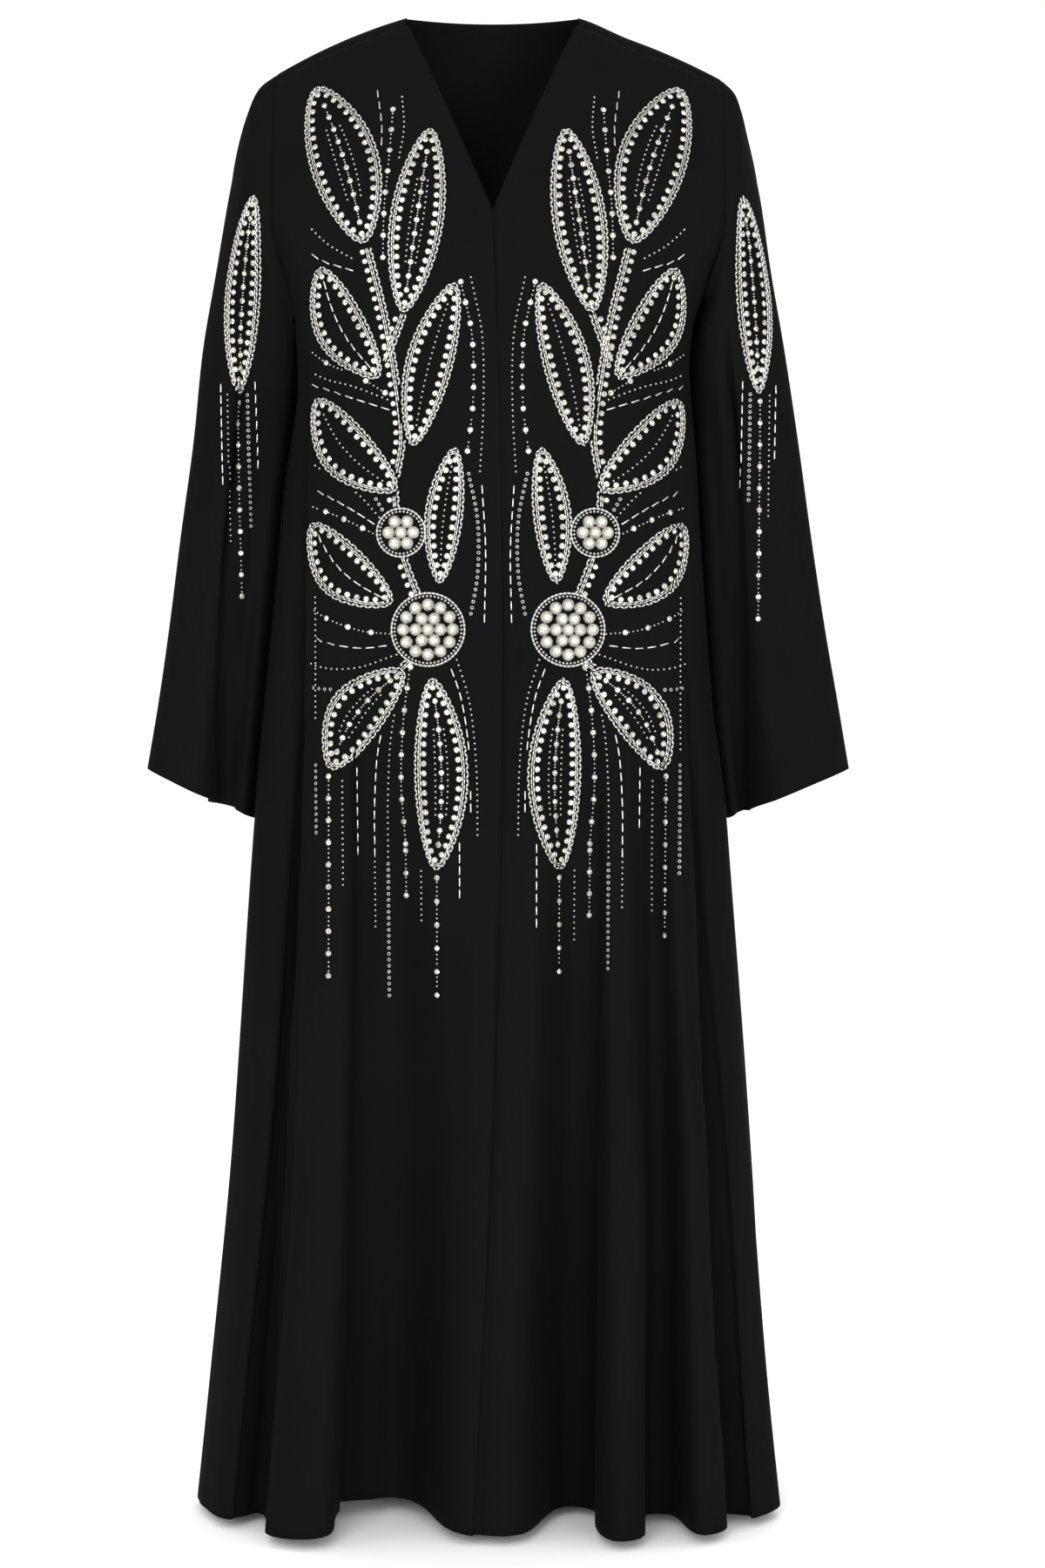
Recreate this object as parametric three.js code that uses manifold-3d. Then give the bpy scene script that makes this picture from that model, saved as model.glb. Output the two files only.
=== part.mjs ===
// An open-front abaya of black crepe, worn on nobody: two fronts that lap at the centre, one back that
// wraps over the shoulders to a forward seam, two wide set-in sleeves, and raised bead embroidery.
// Millimetres. +Z is up, the front faces -Y, and the origin lies midway between the shoulder tips at the
// height of the neck points, where a wearer's shoulders carry the cloth.
import * as THREE from "three";
import { mergeVertices } from "three/addons/utils/BufferGeometryUtils.js";
import Module from "manifold-3d";

const wasm = await Module();
wasm.setup();

// Driving sizes
const WALL = 2; // cloth wall
const SEAM_GAP = 0.36; // between two panels at a seam
const HEM_Z = -1362;
const ARMPIT_Z = -284;
const V_BOTTOM_Z = -197; // where the two fronts meet under the neck
const NECK_HALF = 79; // neck point to the middle of the neck
const NECK_X = -6; // middle of the neck, a little left of the middle of the shoulders
const SHOULDER_HALF = 205; // shoulder tip to centre
const SHOULDER_DROP = 5; // how much lower the right-hand shoulder lies
const NAPE_RISE = 15; // back neck above the neck points
const NAPE_DEPTH = 74; // back neck behind the neck points
const OVERLAP = 28; // how far the under front runs on past the lapping edge
const LAP_STEP = 3.1; // how far the under front lies inside the lapping one
const LAP_EASE = 18; // width over which it comes out again
const LAP_LEVEL = 8; // how far past the edge it stays in
const SEAM_FORWARD = 30; // how far the shoulder seam lies in front of the ridge

// Level sections of the body, without folds. shift moves a section sideways, and power is the
// superellipse's: the higher it is, the flatter the front and the squarer the sides.
const SECTIONS = [
  { z: -284, width: 185, front: 108, back: 98, shift: -2, power: 3.8 },
  { z: -480, width: 197, front: 108, back: 103, shift: -5, power: 3 },
  { z: -735, width: 217.5, front: 106, back: 114, shift: -7.5, power: 2.5 },
  { z: -1050, width: 240, front: 104, back: 124, shift: -7, power: 2.4 },
  { z: -1250, width: 255, front: 104, back: 129, shift: -11.5, power: 2.4 },
  { z: -1362, width: 264, front: 105, back: 132, shift: -14, power: 2.4 },
];

// The hem lies a little higher between two of the front folds.
const HEM_LIFT = { at: -104, width: 92, rise: 7 };

// The lapping edge of the front, from the bottom of the V to the hem.
const FRONT_EDGE = [
  { z: -197, x: -5 },
  { z: -420, x: 2.5 },
  { z: -700, x: 3.6 },
  { z: -1000, x: -3.6 },
  { z: -1362, x: -19 },
];

// Folds of the skirt, crests and troughs. hem and top are places at the hem and at the armpits: on the
// front the distance from the centre plane, on the back the share round it, 1 being the side seam and 2
// the centre back. width is from crest to foot, depth is outwards, left and right sharpen the flanks,
// start is the height where the fold dies out, and bend is how it grows down from there.
const FRONT_FOLDS = [
  { name: "side_a", hem: -243, top: -176, width: 52, depth: 30, left: 0, right: 0, start: -620, bend: 1.2 },
  { name: "trough_ab", hem: -214, top: -162, width: 26, depth: -14, left: 0, right: 0, start: -420, bend: 1.3 },
  { name: "front_b", hem: -174, top: -140, width: 62, depth: 72, left: 0.2, right: 0.18, start: -330, bend: 1.5 },
  { name: "trough_bc", hem: -97, top: -90, width: 62, depth: -60, left: 0, right: 0.02, start: -620, bend: 1.2 },
  { name: "front_c", hem: -6, top: -6, width: 84, depth: 46, left: 0.04, right: 0.04, start: -560, bend: 1.3 },
  { name: "trough_d", hem: 63, top: 70, width: 46, depth: -56, left: 0, right: 0, start: -500, bend: 1.25 },
  { name: "front_e", hem: 107, top: 112, width: 44, depth: 68, left: 0.12, right: 0.19, start: -640, bend: 1.1 },
  { name: "trough_f", hem: 146, top: 138, width: 30, depth: -18, left: 0, right: 0, start: -560, bend: 1.2 },
  { name: "front_g", hem: 184, top: 158, width: 40, depth: 66, left: 0.06, right: 0.19, start: -330, bend: 1.5 },
  { name: "side_h", hem: 231, top: 174, width: 46, depth: 40, left: 0, right: 0, start: -620, bend: 1.2 },
];
const BACK_FOLDS = [
  { name: "left_inner", hem: -1.74, top: -1.72, width: 52, depth: -42, left: 0, right: 0, start: -560, bend: 1.2 },
  { name: "left", hem: -1.52, top: -1.49, width: 56, depth: 48, left: 0.14, right: 0.08, start: -380, bend: 1.3 },
  { name: "left_trough", hem: -1.34, top: -1.32, width: 56, depth: -38, left: 0, right: 0, start: -420, bend: 1.3 },
  { name: "right_trough", hem: 1.25, top: 1.24, width: 46, depth: -34, left: 0, right: 0, start: -420, bend: 1.3 },
  { name: "right", hem: 1.46, top: 1.43, width: 54, depth: 52, left: 0.08, right: 0.14, start: -360, bend: 1.3 },
  { name: "right_inner", hem: 1.69, top: 1.7, width: 50, depth: -44, left: 0, right: 0, start: -500, bend: 1.2 },
  { name: "middle", hem: 1.96, top: 1.97, width: 66, depth: 44, left: 0.06, right: 0.1, start: -520, bend: 1.3 },
];

// Rings of a sleeve, from the armhole to the cuff. outerX and outerZ are the outer end in the front view,
// innerZ the height of the inner end, which stays clear of the body's side, and sway moves the ring left.
const SLEEVE_RINGS = [
  { outerX: 205, outerZ: -53, innerZ: -284, clear: 0, depth: 56, y: 0, sway: 0 },
  { outerX: 221, outerZ: -68, innerZ: -287, clear: 3, depth: 58, y: 1, sway: 2 },
  { outerX: 232, outerZ: -101, innerZ: -295, clear: 4, depth: 59, y: 3, sway: 4 },
  { outerX: 245, outerZ: -159, innerZ: -313, clear: 4.5, depth: 58, y: 6, sway: 4 },
  { outerX: 257, outerZ: -232, innerZ: -345, clear: 4.5, depth: 55, y: 10, sway: 5 },
  { outerX: 270, outerZ: -306, innerZ: -395, clear: 4.5, depth: 51, y: 14, sway: 5 },
  { outerX: 281, outerZ: -390, innerZ: -463, clear: 4.5, depth: 48, y: 17, sway: 3 },
  { outerX: 293, outerZ: -475, innerZ: -538, clear: 4.5, depth: 46, y: 20, sway: 3 },
  { outerX: 305, outerZ: -560, innerZ: -614, clear: 4.5, depth: 45, y: 22, sway: 2 },
  { outerX: 316, outerZ: -628, innerZ: -678, clear: 4.5, depth: 45, y: 24, sway: 1 },
  { outerX: 327, outerZ: -692, innerZ: -738, clear: 4.5, depth: 45, y: 26, sway: 1 },
];

// Folds of a sleeve, by their angle round the ring: 0 is the inner end, 90 the front, 180 the outer end.
const SLEEVE_FOLDS = [
  { name: "front_crease", left: 62, right: 50, width: 30, depth: -22, start: 3 },
  { name: "front_roll", left: 96, right: 84, width: 34, depth: 8, start: 3 },
  { name: "back_crease", left: 292, right: 300, width: 36, depth: -14, start: 4 },
];

// Bead embroidery: a spray of leaves that climbs each front, given for the right-hand half and mirrored.
// base and tip are places in the front view, width is across the leaf, and bend bows it sideways.
const LEAVES = [
  { name: "shoulder", base: [118, -228], tip: [164, -76], width: 64, bend: 4 },
  { name: "neck", base: [84, -290], tip: [60, -122], width: 50, bend: 0 },
  { name: "chest", base: [106, -348], tip: [160, -246], width: 48, bend: -8 },
  { name: "heart", base: [76, -408], tip: [38, -262], width: 44, bend: -4 },
  { name: "side", base: [90, -448], tip: [164, -362], width: 50, bend: -10 },
  { name: "front", base: [52, -530], tip: [38, -408], width: 36, bend: -3 },
  { name: "waist", base: [94, -548], tip: [168, -474], width: 50, bend: -10 },
  { name: "hip", base: [84, -604], tip: [150, -694], width: 52, bend: 10 },
  { name: "drop", base: [58, -612], tip: [54, -784], width: 50, bend: -6 },
];
const SLEEVE_LEAF = { name: "sleeve", base: [220, -176], tip: [237, -352], width: 36, bend: 3 };
const BAND = 13; // width of a leaf's beaded outline
const BAND_RISE = 3.2; // its height over the cloth
const BAND_GAP = 0.5; // least gap under it
const ROSETTES = [
  { name: "upper", at: [86, -484], rings: 1 },
  { name: "lower", at: [62, -570], rings: 2 },
];
const STONE = 11; // width of a large cut stone
const STONE_RISE = 4.6;

// Number of columns and rows
const FRONT_COLUMNS = 34;
const BACK_COLUMNS = 42;
const NECK_COLUMNS = 12; // of the back's, across the back neck
const SKIRT_ROWS = [-1362, -1280, -1185, -1080, -965, -845, -725, -605, -490, -380, -284];
const LOW_YOKE_ROWS = 3; // between the armpit and the bottom of the V
const HIGH_YOKE_ROWS = 7; // from there to the shoulder ridge
const WRAP_ROWS = 2; // from the ridge to the forward seam
const LEAF_STEPS = 20;

// Materials
const CREPE = new THREE.MeshStandardMaterial({ color: 0x121214, roughness: 0.78, metalness: 0 });
const BEADS = new THREE.MeshStandardMaterial({ color: 0xd9d5cb, roughness: 0.25, metalness: 0.6 });

const clamp = (t) => Math.min(1, Math.max(0, t));
const mix = (a, b, t) => a + (b - a) * t;
const smooth = (t) => clamp(t) ** 2 * (3 - 2 * clamp(t));
const radians = (degrees) => (degrees * Math.PI) / 180;

// A smooth curve through a table's column, by its z.
function track(table, key, z) {
  const rows = [...table].sort((a, b) => a.z - b.z);
  const last = rows.length - 1;
  const i = Math.min(last - 1, Math.max(0, rows.findIndex((row) => row.z > z) - 1));
  const at = rows.findIndex((row) => row.z > z) < 0 ? last - 1 : i;
  const [a, b] = [rows[at], rows[at + 1]];
  const before = rows[Math.max(0, at - 1)];
  const after = rows[Math.min(last, at + 2)];
  const t = clamp((z - a.z) / (b.z - a.z));
  const span = b.z - a.z;
  const slopeA = ((b[key] - before[key]) / (b.z - before.z)) * span;
  const slopeB = ((after[key] - a[key]) / (after.z - a.z)) * span;
  const t2 = t * t;
  const t3 = t2 * t;
  return (
    (2 * t3 - 3 * t2 + 1) * a[key] + (t3 - 2 * t2 + t) * slopeA +
    (-2 * t3 + 3 * t2) * b[key] + (t3 - t2) * slopeB
  );
}

const sectionAt = (z) => ({
  width: track(SECTIONS, "width", z),
  front: track(SECTIONS, "front", z),
  back: track(SECTIONS, "back", z),
  shift: track(SECTIONS, "shift", z),
  power: track(SECTIONS, "power", z),
});

// A quarter of a level section, as a table of points and of the length run to each.
const QUARTER_STEPS = 90;
const quarters = new Map();
function quarterOf(z, isFront) {
  const key = `${z} ${isFront}`;
  if (!quarters.has(key)) {
    const section = sectionAt(z);
    const power = 2 / section.power;
    const depth = isFront ? section.front : section.back;
    const points = Array.from({ length: QUARTER_STEPS + 1 }, (_, i) => {
      const angle = (i / QUARTER_STEPS) * (Math.PI / 2);
      const across = section.width * Math.sin(angle) ** power;
      return [across, depth * Math.max(0, Math.cos(angle)) ** power];
    });
    const lengths = [0];
    for (let i = 1; i <= QUARTER_STEPS; i++) {
      const [from, to] = [points[i - 1], points[i]];
      lengths.push(lengths[i - 1] + Math.hypot(to[0] - from[0], to[1] - from[1]));
    }
    quarters.set(key, { points, lengths, length: lengths[QUARTER_STEPS], shift: section.shift });
  }
  return quarters.get(key);
}
const FRONT_LENGTH = quarterOf(HEM_Z, true).length;
const BACK_LENGTH = quarterOf(HEM_Z, false).length;
const HALF_ROUND = FRONT_LENGTH + BACK_LENGTH;

// round is the signed place round the body: 0 centre front, 1 and -1 the side seams, 2 and -2 centre back.
function plainSkirt(round, z) {
  const side = round < 0 ? -1 : 1;
  const size = Math.abs(round);
  const isFront = size <= 1;
  const { points, lengths, length, shift } = quarterOf(z, isFront);
  const wanted = clamp(isFront ? size : 2 - size) * length;
  const i = Math.max(1, lengths.findIndex((run) => run >= wanted - 1e-9));
  const t = (wanted - lengths[i - 1]) / (lengths[i] - lengths[i - 1]);
  const x = mix(points[i - 1][0], points[i][0], t);
  const y = mix(points[i - 1][1], points[i][1], t);
  return new THREE.Vector3(shift + side * x, isFront ? -y : y, z);
}

// The place round the front that lies at a given x, at one height.
function roundAtX(x, z) {
  const { points, lengths, length, shift } = quarterOf(z, true);
  const size = Math.abs(x - shift);
  const i = Math.max(1, points.findIndex((point) => point[0] >= size));
  const t = (size - points[i - 1][0]) / (points[i][0] - points[i - 1][0]);
  return (Math.sign(x - shift) * mix(lengths[i - 1], lengths[i], t)) / length;
}

// Each fold's place along the hem, in mm from the centre front, at its two ends.
const alongHem = (round) => {
  const size = Math.abs(round);
  return Math.sign(round) * (size <= 1 ? size * FRONT_LENGTH : FRONT_LENGTH + (size - 1) * BACK_LENGTH);
};
const FOLDS = [
  ...FRONT_FOLDS.map((fold) => ({
    ...fold,
    hem: alongHem(roundAtX(fold.hem, HEM_Z)),
    top: alongHem(roundAtX(fold.top, ARMPIT_Z)),
  })),
  ...BACK_FOLDS.map((fold) => ({ ...fold, hem: alongHem(fold.hem), top: alongHem(fold.top) })),
];

const placeOf = (fold, z) => mix(fold.top, fold.hem, (ARMPIT_Z - z) / (ARMPIT_Z - HEM_Z));

// Places along the hem for a row of columns from one end to the other, so that the columns run down the
// folds: even at the hem, and between the same folds higher up.
function columnPlaces(shares, hemEnds, ends, z) {
  const inside = FOLDS.filter((fold) => fold.hem > Math.min(...hemEnds) + 12 && fold.hem < Math.max(...hemEnds) - 12)
    .sort((a, b) => (a.hem - b.hem) * Math.sign(hemEnds[1] - hemEnds[0]));
  const from = [hemEnds[0], ...inside.map((fold) => fold.hem), hemEnds[1]];
  const to = [ends[0], ...inside.map((fold) => placeOf(fold, z)), ends[1]];
  return shares.map((share) => {
    const place = mix(hemEnds[0], hemEnds[1], share);
    const sign = Math.sign(hemEnds[1] - hemEnds[0]);
    const i = Math.max(1, from.findIndex((at) => (at - place) * sign >= -1e-9));
    return mix(to[i - 1], to[i], (place - from[i - 1]) / (from[i] - from[i - 1]));
  });
}
const roundOf = (place) => {
  const size = Math.abs(place);
  return Math.sign(place) * (size <= FRONT_LENGTH ? size / FRONT_LENGTH : 1 + (size - FRONT_LENGTH) / BACK_LENGTH);
};

function foldShift(round, z) {
  const place = alongHem(round);
  let out = 0;
  let along = 0;
  for (const fold of FOLDS) {
    if (z >= fold.start) continue;
    const fall = (fold.start - z) / (fold.start - HEM_Z);
    const growth = fall ** fold.bend;
    let from = place - placeOf(fold, z);
    if (from > HALF_ROUND) from -= 2 * HALF_ROUND;
    if (from < -HALF_ROUND) from += 2 * HALF_ROUND;
    const q = from / (fold.width * mix(0.72, 1, fall));
    if (Math.abs(q) >= 1) continue;
    const pinch = q < 0 ? fold.left : fold.right;
    out += fold.depth * growth * 0.5 * (1 + Math.cos(Math.PI * q));
    along += fold.width * pinch * growth * Math.sin(2 * Math.PI * q);
  }
  return { out, along };
}

// Folds come straight forward on the front and straight back on the back, and sideways at the seams.
function skirtPoint(round, z) {
  const step = 0.02;
  const tangent = plainSkirt(round + step, z).sub(plainSkirt(round - step, z)).normalize();
  const size = Math.abs(round);
  const sideways = smooth(1 - Math.abs(size - 1) / 0.16);
  const outwards = new THREE.Vector3(tangent.y * sideways, -tangent.x, 0).normalize();
  const { out, along } = foldShift(round, z);
  const point = plainSkirt(round, z).addScaledVector(outwards, out).addScaledVector(tangent, along);
  if (z === HEM_Z) point.z += hemLift(round);
  return point;
}

function hemLift(round) {
  const q = (alongHem(round) - alongHem(roundAtX(HEM_LIFT.at, HEM_Z))) / HEM_LIFT.width;
  return Math.abs(q) < 1 ? HEM_LIFT.rise * 0.5 * (1 + Math.cos(Math.PI * q)) : 0;
}

// Height of the shoulder ridge over a place at x, and of the back neck between the neck points.
const RIDGE_RUN = 134; // the run from neck point to tip that the ridge's curve is given for
function ridgeZ(x) {
  const side = Math.sign(x - NECK_X);
  const span = SHOULDER_HALF - side * NECK_X - NECK_HALF;
  const past = (Math.max(0, Math.abs(x - NECK_X) - NECK_HALF) / span) * RIDGE_RUN;
  const lower = x > 0 ? SHOULDER_DROP * smooth(past / 50) : 0;
  return -0.258 * past - 0.00096 * past ** 2 - lower;
}
const napeShare = (x) => Math.max(0, 1 - ((x - NECK_X) / NECK_HALF) ** 2);

// The armhole, as the half width of the yoke at each height, and how far the sections run on past it.
const ARMHOLE_CURVE = 95;
const ARM_ROOM = 0.1;
const YOKE_WIDTH = sectionAt(ARMPIT_Z).width;
const YOKE_POWER = sectionAt(ARMPIT_Z).power;
const armholeX = (z) =>
  YOKE_WIDTH + (SHOULDER_HALF - YOKE_WIDTH) * Math.sin(clamp((z - ARMPIT_Z) / ARMHOLE_CURVE) * (Math.PI / 2));
const yokeWidth = (z) => armholeX(z) * (1 + ARM_ROOM * smooth((z - ARMPIT_Z) / 90));

const SLOPE = { front: { reach: 230, power: 1.8 }, back: { reach: 190, power: 1.7 } };
function yokeDepth(x, z, isFront) {
  const shift = sectionAt(ARMPIT_Z).shift * (1 - smooth((z - ARMPIT_Z) / 90));
  const full = isFront ? sectionAt(ARMPIT_Z).front : sectionAt(ARMPIT_Z).back;
  const across = clamp(Math.abs(x - shift) / yokeWidth(z));
  const wide = Math.max(0, 1 - across ** YOKE_POWER) ** (1 / YOKE_POWER);
  const nape = isFront ? 0 : napeShare(x);
  const top = nape * NAPE_DEPTH;
  const slope = isFront ? SLOPE.front : SLOPE.back;
  const power = mix(slope.power, 1.1, nape);
  const below = ridgeZ(x) + nape * NAPE_RISE - z;
  const fall = (1 - (1 - clamp(below / slope.reach)) ** power) ** (1 / power);
  return top + (full * wide - top) * fall;
}

// A point on the yoke. wrap, past the ridge, is how far the back panel has come forward over it.
const frontYoke = (x, z) => new THREE.Vector3(x, -yokeDepth(x, z, true), z);
const backYoke = (x, z) => new THREE.Vector3(x, yokeDepth(x, z, false), z);

// The front yoke's point at a given depth in front of the ridge.
function forwardPoint(x, depth) {
  let low = 0;
  let high = 120;
  for (let i = 0; i < 40; i++) {
    const middle = (low + high) / 2;
    if (yokeDepth(x, ridgeZ(x) - middle, true) < depth) low = middle;
    else high = middle;
  }
  return frontYoke(x, ridgeZ(x) - low);
}
// Outward direction of the cloth along the forward seam
function seamNormal(x) {
  const depth = seamDepth(x);
  const across = forwardPoint(x + 4, seamDepth(x + 4)).sub(forwardPoint(x - 4, seamDepth(x - 4)));
  const down = forwardPoint(x, depth + 5).sub(forwardPoint(x, depth - 5));
  return down.cross(across).normalize();
}
// How far forward the seam lies at x: less at the tip, where the shoulder is thin.
const seamDepth = (x) => mix(SEAM_FORWARD, SEAM_FORWARD * 0.72, smooth((Math.abs(x) - 120) / 85));

const frontEdgeX = (z) => track(FRONT_EDGE, "x", z);

// The cloth on a grid of outer points, rows[r][c]: its quads and the direction it faces at each point.
// keep says which cells there are, and face, where given, turns the direction at a seam.
function clothOf(rows, { closed = false, keep = () => true, flip = false, face = () => {} } = {}) {
  const columnCount = rows[0].length;
  const id = (r, c) => r * columnCount + (c % columnCount);
  const outer = rows.flat();
  const normals = outer.map(() => new THREE.Vector3());
  const quads = [];
  for (let r = 0; r + 1 < rows.length; r++)
    for (let c = 0; c < (closed ? columnCount : columnCount - 1); c++) {
      if (!keep(r, c)) continue;
      const corners = [id(r, c), id(r, c + 1), id(r + 1, c + 1), id(r + 1, c)];
      quads.push(flip ? corners.reverse() : corners);
    }
  for (const [a, b, c, d] of quads) {
    const across = outer[c].clone().sub(outer[a]);
    const other = outer[d].clone().sub(outer[b]);
    const normal = across.cross(other).normalize();
    for (const corner of [a, b, c, d]) normals[corner].add(normal);
  }
  normals.forEach((normal, i) => {
    face(normal, Math.floor(i / columnCount), i % columnCount);
    normal.normalize();
  });
  return { outer, normals, quads, at: (r, c) => normals[id(r, c)] };
}

// Gives the cloth its thickness, inwards, and closes it along its edges.
function wallOf({ outer, normals, quads }) {
  const inner = outer.map((point, i) => point.clone().addScaledVector(normals[i], -WALL));
  const triangles = [];
  const edges = new Map();
  for (const [a, b, c, d] of quads) {
    triangles.push([outer[a], outer[b], outer[c]], [outer[a], outer[c], outer[d]]);
    triangles.push([inner[c], inner[b], inner[a]], [inner[d], inner[c], inner[a]]);
    for (const [from, to] of [[a, b], [b, c], [c, d], [d, a]]) {
      if (edges.has(`${to},${from}`)) edges.delete(`${to},${from}`);
      else edges.set(`${from},${to}`, [from, to]);
    }
  }
  for (const [from, to] of edges.values()) {
    triangles.push([outer[from], inner[from], inner[to]], [outer[from], inner[to], outer[to]]);
  }
  return geometryOf(triangles);
}

function geometryOf(triangles) {
  const positions = triangles.flat().flatMap((point) => [point.x, point.y, point.z]);
  const geometry = new THREE.BufferGeometry();
  geometry.setAttribute("position", new THREE.Float32BufferAttribute(positions, 3));
  return geometry;
}

const group = new THREE.Group();
function addPart(name, geometry, material) {
  geometry.computeVertexNormals();
  const mesh = new THREE.Mesh(geometry, material);
  mesh.name = name;
  group.add(mesh);
}

// Heights of the yoke's rows at the inner and outer edges of a panel
const lowYoke = Array.from({ length: LOW_YOKE_ROWS }, (_, i) => (i + 1) / LOW_YOKE_ROWS);
const highYoke = Array.from({ length: HIGH_YOKE_ROWS }, (_, i) => (i + 1) / HIGH_YOKE_ROWS);
const LOW_OUTER_Z = -215; // the armhole's height in the row that meets the bottom of the V

const V_FROM = -270; // from here up the under front's edge runs in line with the V

// A front panel: side is -1 for the lapping front on the left, and 1 for the under front.
function frontRows(side) {
  const laps = side < 0;
  const innerX = (z) => (laps ? frontEdgeX(z) : frontEdgeX(z) - OVERLAP * (1 - clamp((z - V_FROM) / (V_BOTTOM_Z - V_FROM))));
  const shares = Array.from({ length: FRONT_COLUMNS + 1 }, (_, i) => i / FRONT_COLUMNS);
  const seam = side * (FRONT_LENGTH - SEAM_GAP / 2);
  const edgeAt = (z) => alongHem(roundAtX(innerX(z), z));
  const rows = SKIRT_ROWS.map((z) =>
    columnPlaces(shares, [edgeAt(HEM_Z), seam], [edgeAt(z), seam], z).map((place) => skirtPoint(roundOf(place), z)),
  );
  const armpitRow = rows[rows.length - 1];
  const start = armpitRow[0].x;
  const end = armpitRow[FRONT_COLUMNS].x;
  const spread = armpitRow.map((point) => (point.x - start) / (end - start));
  const edgeX = (z) => side * (armholeX(z) - SEAM_GAP / 2);
  for (const t of lowYoke) {
    const innerZ = mix(ARMPIT_Z, V_BOTTOM_Z, t);
    const outerZ = mix(ARMPIT_Z, LOW_OUTER_Z, t);
    rows.push(
      spread.map((share) => {
        const z = mix(innerZ, outerZ, share);
        return frontYoke(mix(innerX(innerZ), edgeX(outerZ), share), z);
      }),
    );
  }
  const vStart = innerX(V_BOTTOM_Z);
  const neck = forwardPoint(NECK_X + side * (NECK_HALF - 1.5), seamDepth(NECK_HALF));
  for (const t of highYoke) {
    const u = t ** 0.9;
    rows.push(
      spread.map((share) => {
        const topX = mix(neck.x, side * (SHOULDER_HALF - SEAM_GAP / 2), share);
        const top = forwardPoint(topX, seamDepth(topX) + SEAM_GAP);
        const lowX = mix(vStart, edgeX(LOW_OUTER_Z), share);
        const lowZ = mix(V_BOTTOM_Z, LOW_OUTER_Z, share);
        const x = mix(lowX, top.x, u);
        const z = mix(lowZ, top.z, u);
        return t === 1 ? top : frontYoke(x, z);
      }),
    );
  }
  if (!laps) tuckUnder(rows);
  return rows;
}

// Moves the under front inwards where the other front laps over it. The tuck fades out beside the lap,
// and above the bottom of the V, where the fronts part.
function tuckUnder(rows) {
  for (const row of rows) {
    const moved = row.map((point, i) => {
      const before = row[Math.max(0, i - 1)];
      const after = row[Math.min(row.length - 1, i + 1)];
      const tangent = after.clone().sub(before).setZ(0).normalize();
      const inwards = new THREE.Vector3(-tangent.y, tangent.x, 0);
      const above = Math.max(0, point.z - V_BOTTOM_Z);
      const past = point.x - frontEdgeX(Math.min(point.z, V_BOTTOM_Z)) + 0.6 * above;
      return point.clone().addScaledVector(inwards, LAP_STEP * (1 - smooth((past - LAP_LEVEL) / LAP_EASE)));
    });
    moved.forEach((point, i) => row[i].copy(point));
  }
}

// The back: one piece, from side seam to side seam and forward over each shoulder.
function backRows() {
  const half = Array.from({ length: BACK_COLUMNS / 2 + 1 }, (_, i) => (2 * i) / BACK_COLUMNS);
  const seam = FRONT_LENGTH + SEAM_GAP / 2;
  const rows = SKIRT_ROWS.map((z) => {
    const [left, right] = [-1, 1].map((side) => {
      const ends = [side * HALF_ROUND, side * seam];
      return columnPlaces(half, ends, ends, z).map((place) => skirtPoint(roundOf(place), z));
    });
    return [...left.reverse(), ...right.slice(1)];
  });
  const armpitRow = rows[rows.length - 1];
  const edge = (z) => armholeX(z) - SEAM_GAP / 2;
  const centre = armpitRow[BACK_COLUMNS / 2].x;
  const spread = armpitRow.map((point) => (point.x - centre) / Math.abs(armpitRow[BACK_COLUMNS].x - centre));
  for (const t of lowYoke) {
    const outerZ = mix(ARMPIT_Z, LOW_OUTER_Z, t);
    rows.push(
      spread.map((share) => {
        const z = mix(mix(ARMPIT_Z, V_BOTTOM_Z, t), outerZ, Math.abs(share));
        return backYoke(share * edge(outerZ), z);
      }),
    );
  }
  // In the top rows, the middle columns gather to the back neck and the others to the shoulders.
  const middle = BACK_COLUMNS / 2;
  const neckHalfColumns = NECK_COLUMNS / 2;
  const topX = armpitRow.map((_, i) => {
    const from = Math.abs(i - middle);
    const side = Math.sign(i - middle);
    if (from <= neckHalfColumns) return NECK_X + side * NECK_HALF * (from / neckHalfColumns);
    const t = (from - neckHalfColumns) / (middle - neckHalfColumns);
    return mix(NECK_X + side * NECK_HALF, side * (SHOULDER_HALF - SEAM_GAP / 2), t);
  });
  for (const t of highYoke) {
    const u = t ** 0.9;
    rows.push(
      spread.map((share, i) => {
        const lowX = share * edge(LOW_OUTER_Z);
        const lowZ = mix(V_BOTTOM_Z, LOW_OUTER_Z, Math.abs(share));
        const x = mix(lowX, topX[i], smooth(u) * 0.4 + u * 0.6);
        const topZ = ridgeZ(topX[i]) + napeShare(topX[i]) * NAPE_RISE;
        return backYoke(x, mix(lowZ, topZ, u));
      }),
    );
  }
  for (let k = 1; k <= WRAP_ROWS; k++) {
    rows.push(topX.map((x) => forwardPoint(x, (seamDepth(x) * k) / WRAP_ROWS)));
  }
  return rows;
}

const leftFront = frontRows(-1);
const rightFront = frontRows(1);
const back = backRows();
const ridgeRow = SKIRT_ROWS.length + LOW_YOKE_ROWS + HIGH_YOKE_ROWS - 1;
const neckFrom = BACK_COLUMNS / 2 - NECK_COLUMNS / 2;
const neckTo = BACK_COLUMNS / 2 + NECK_COLUMNS / 2;
const backKeep = (r, c) => r < ridgeRow || c < neckFrom || c >= neckTo;

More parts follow.
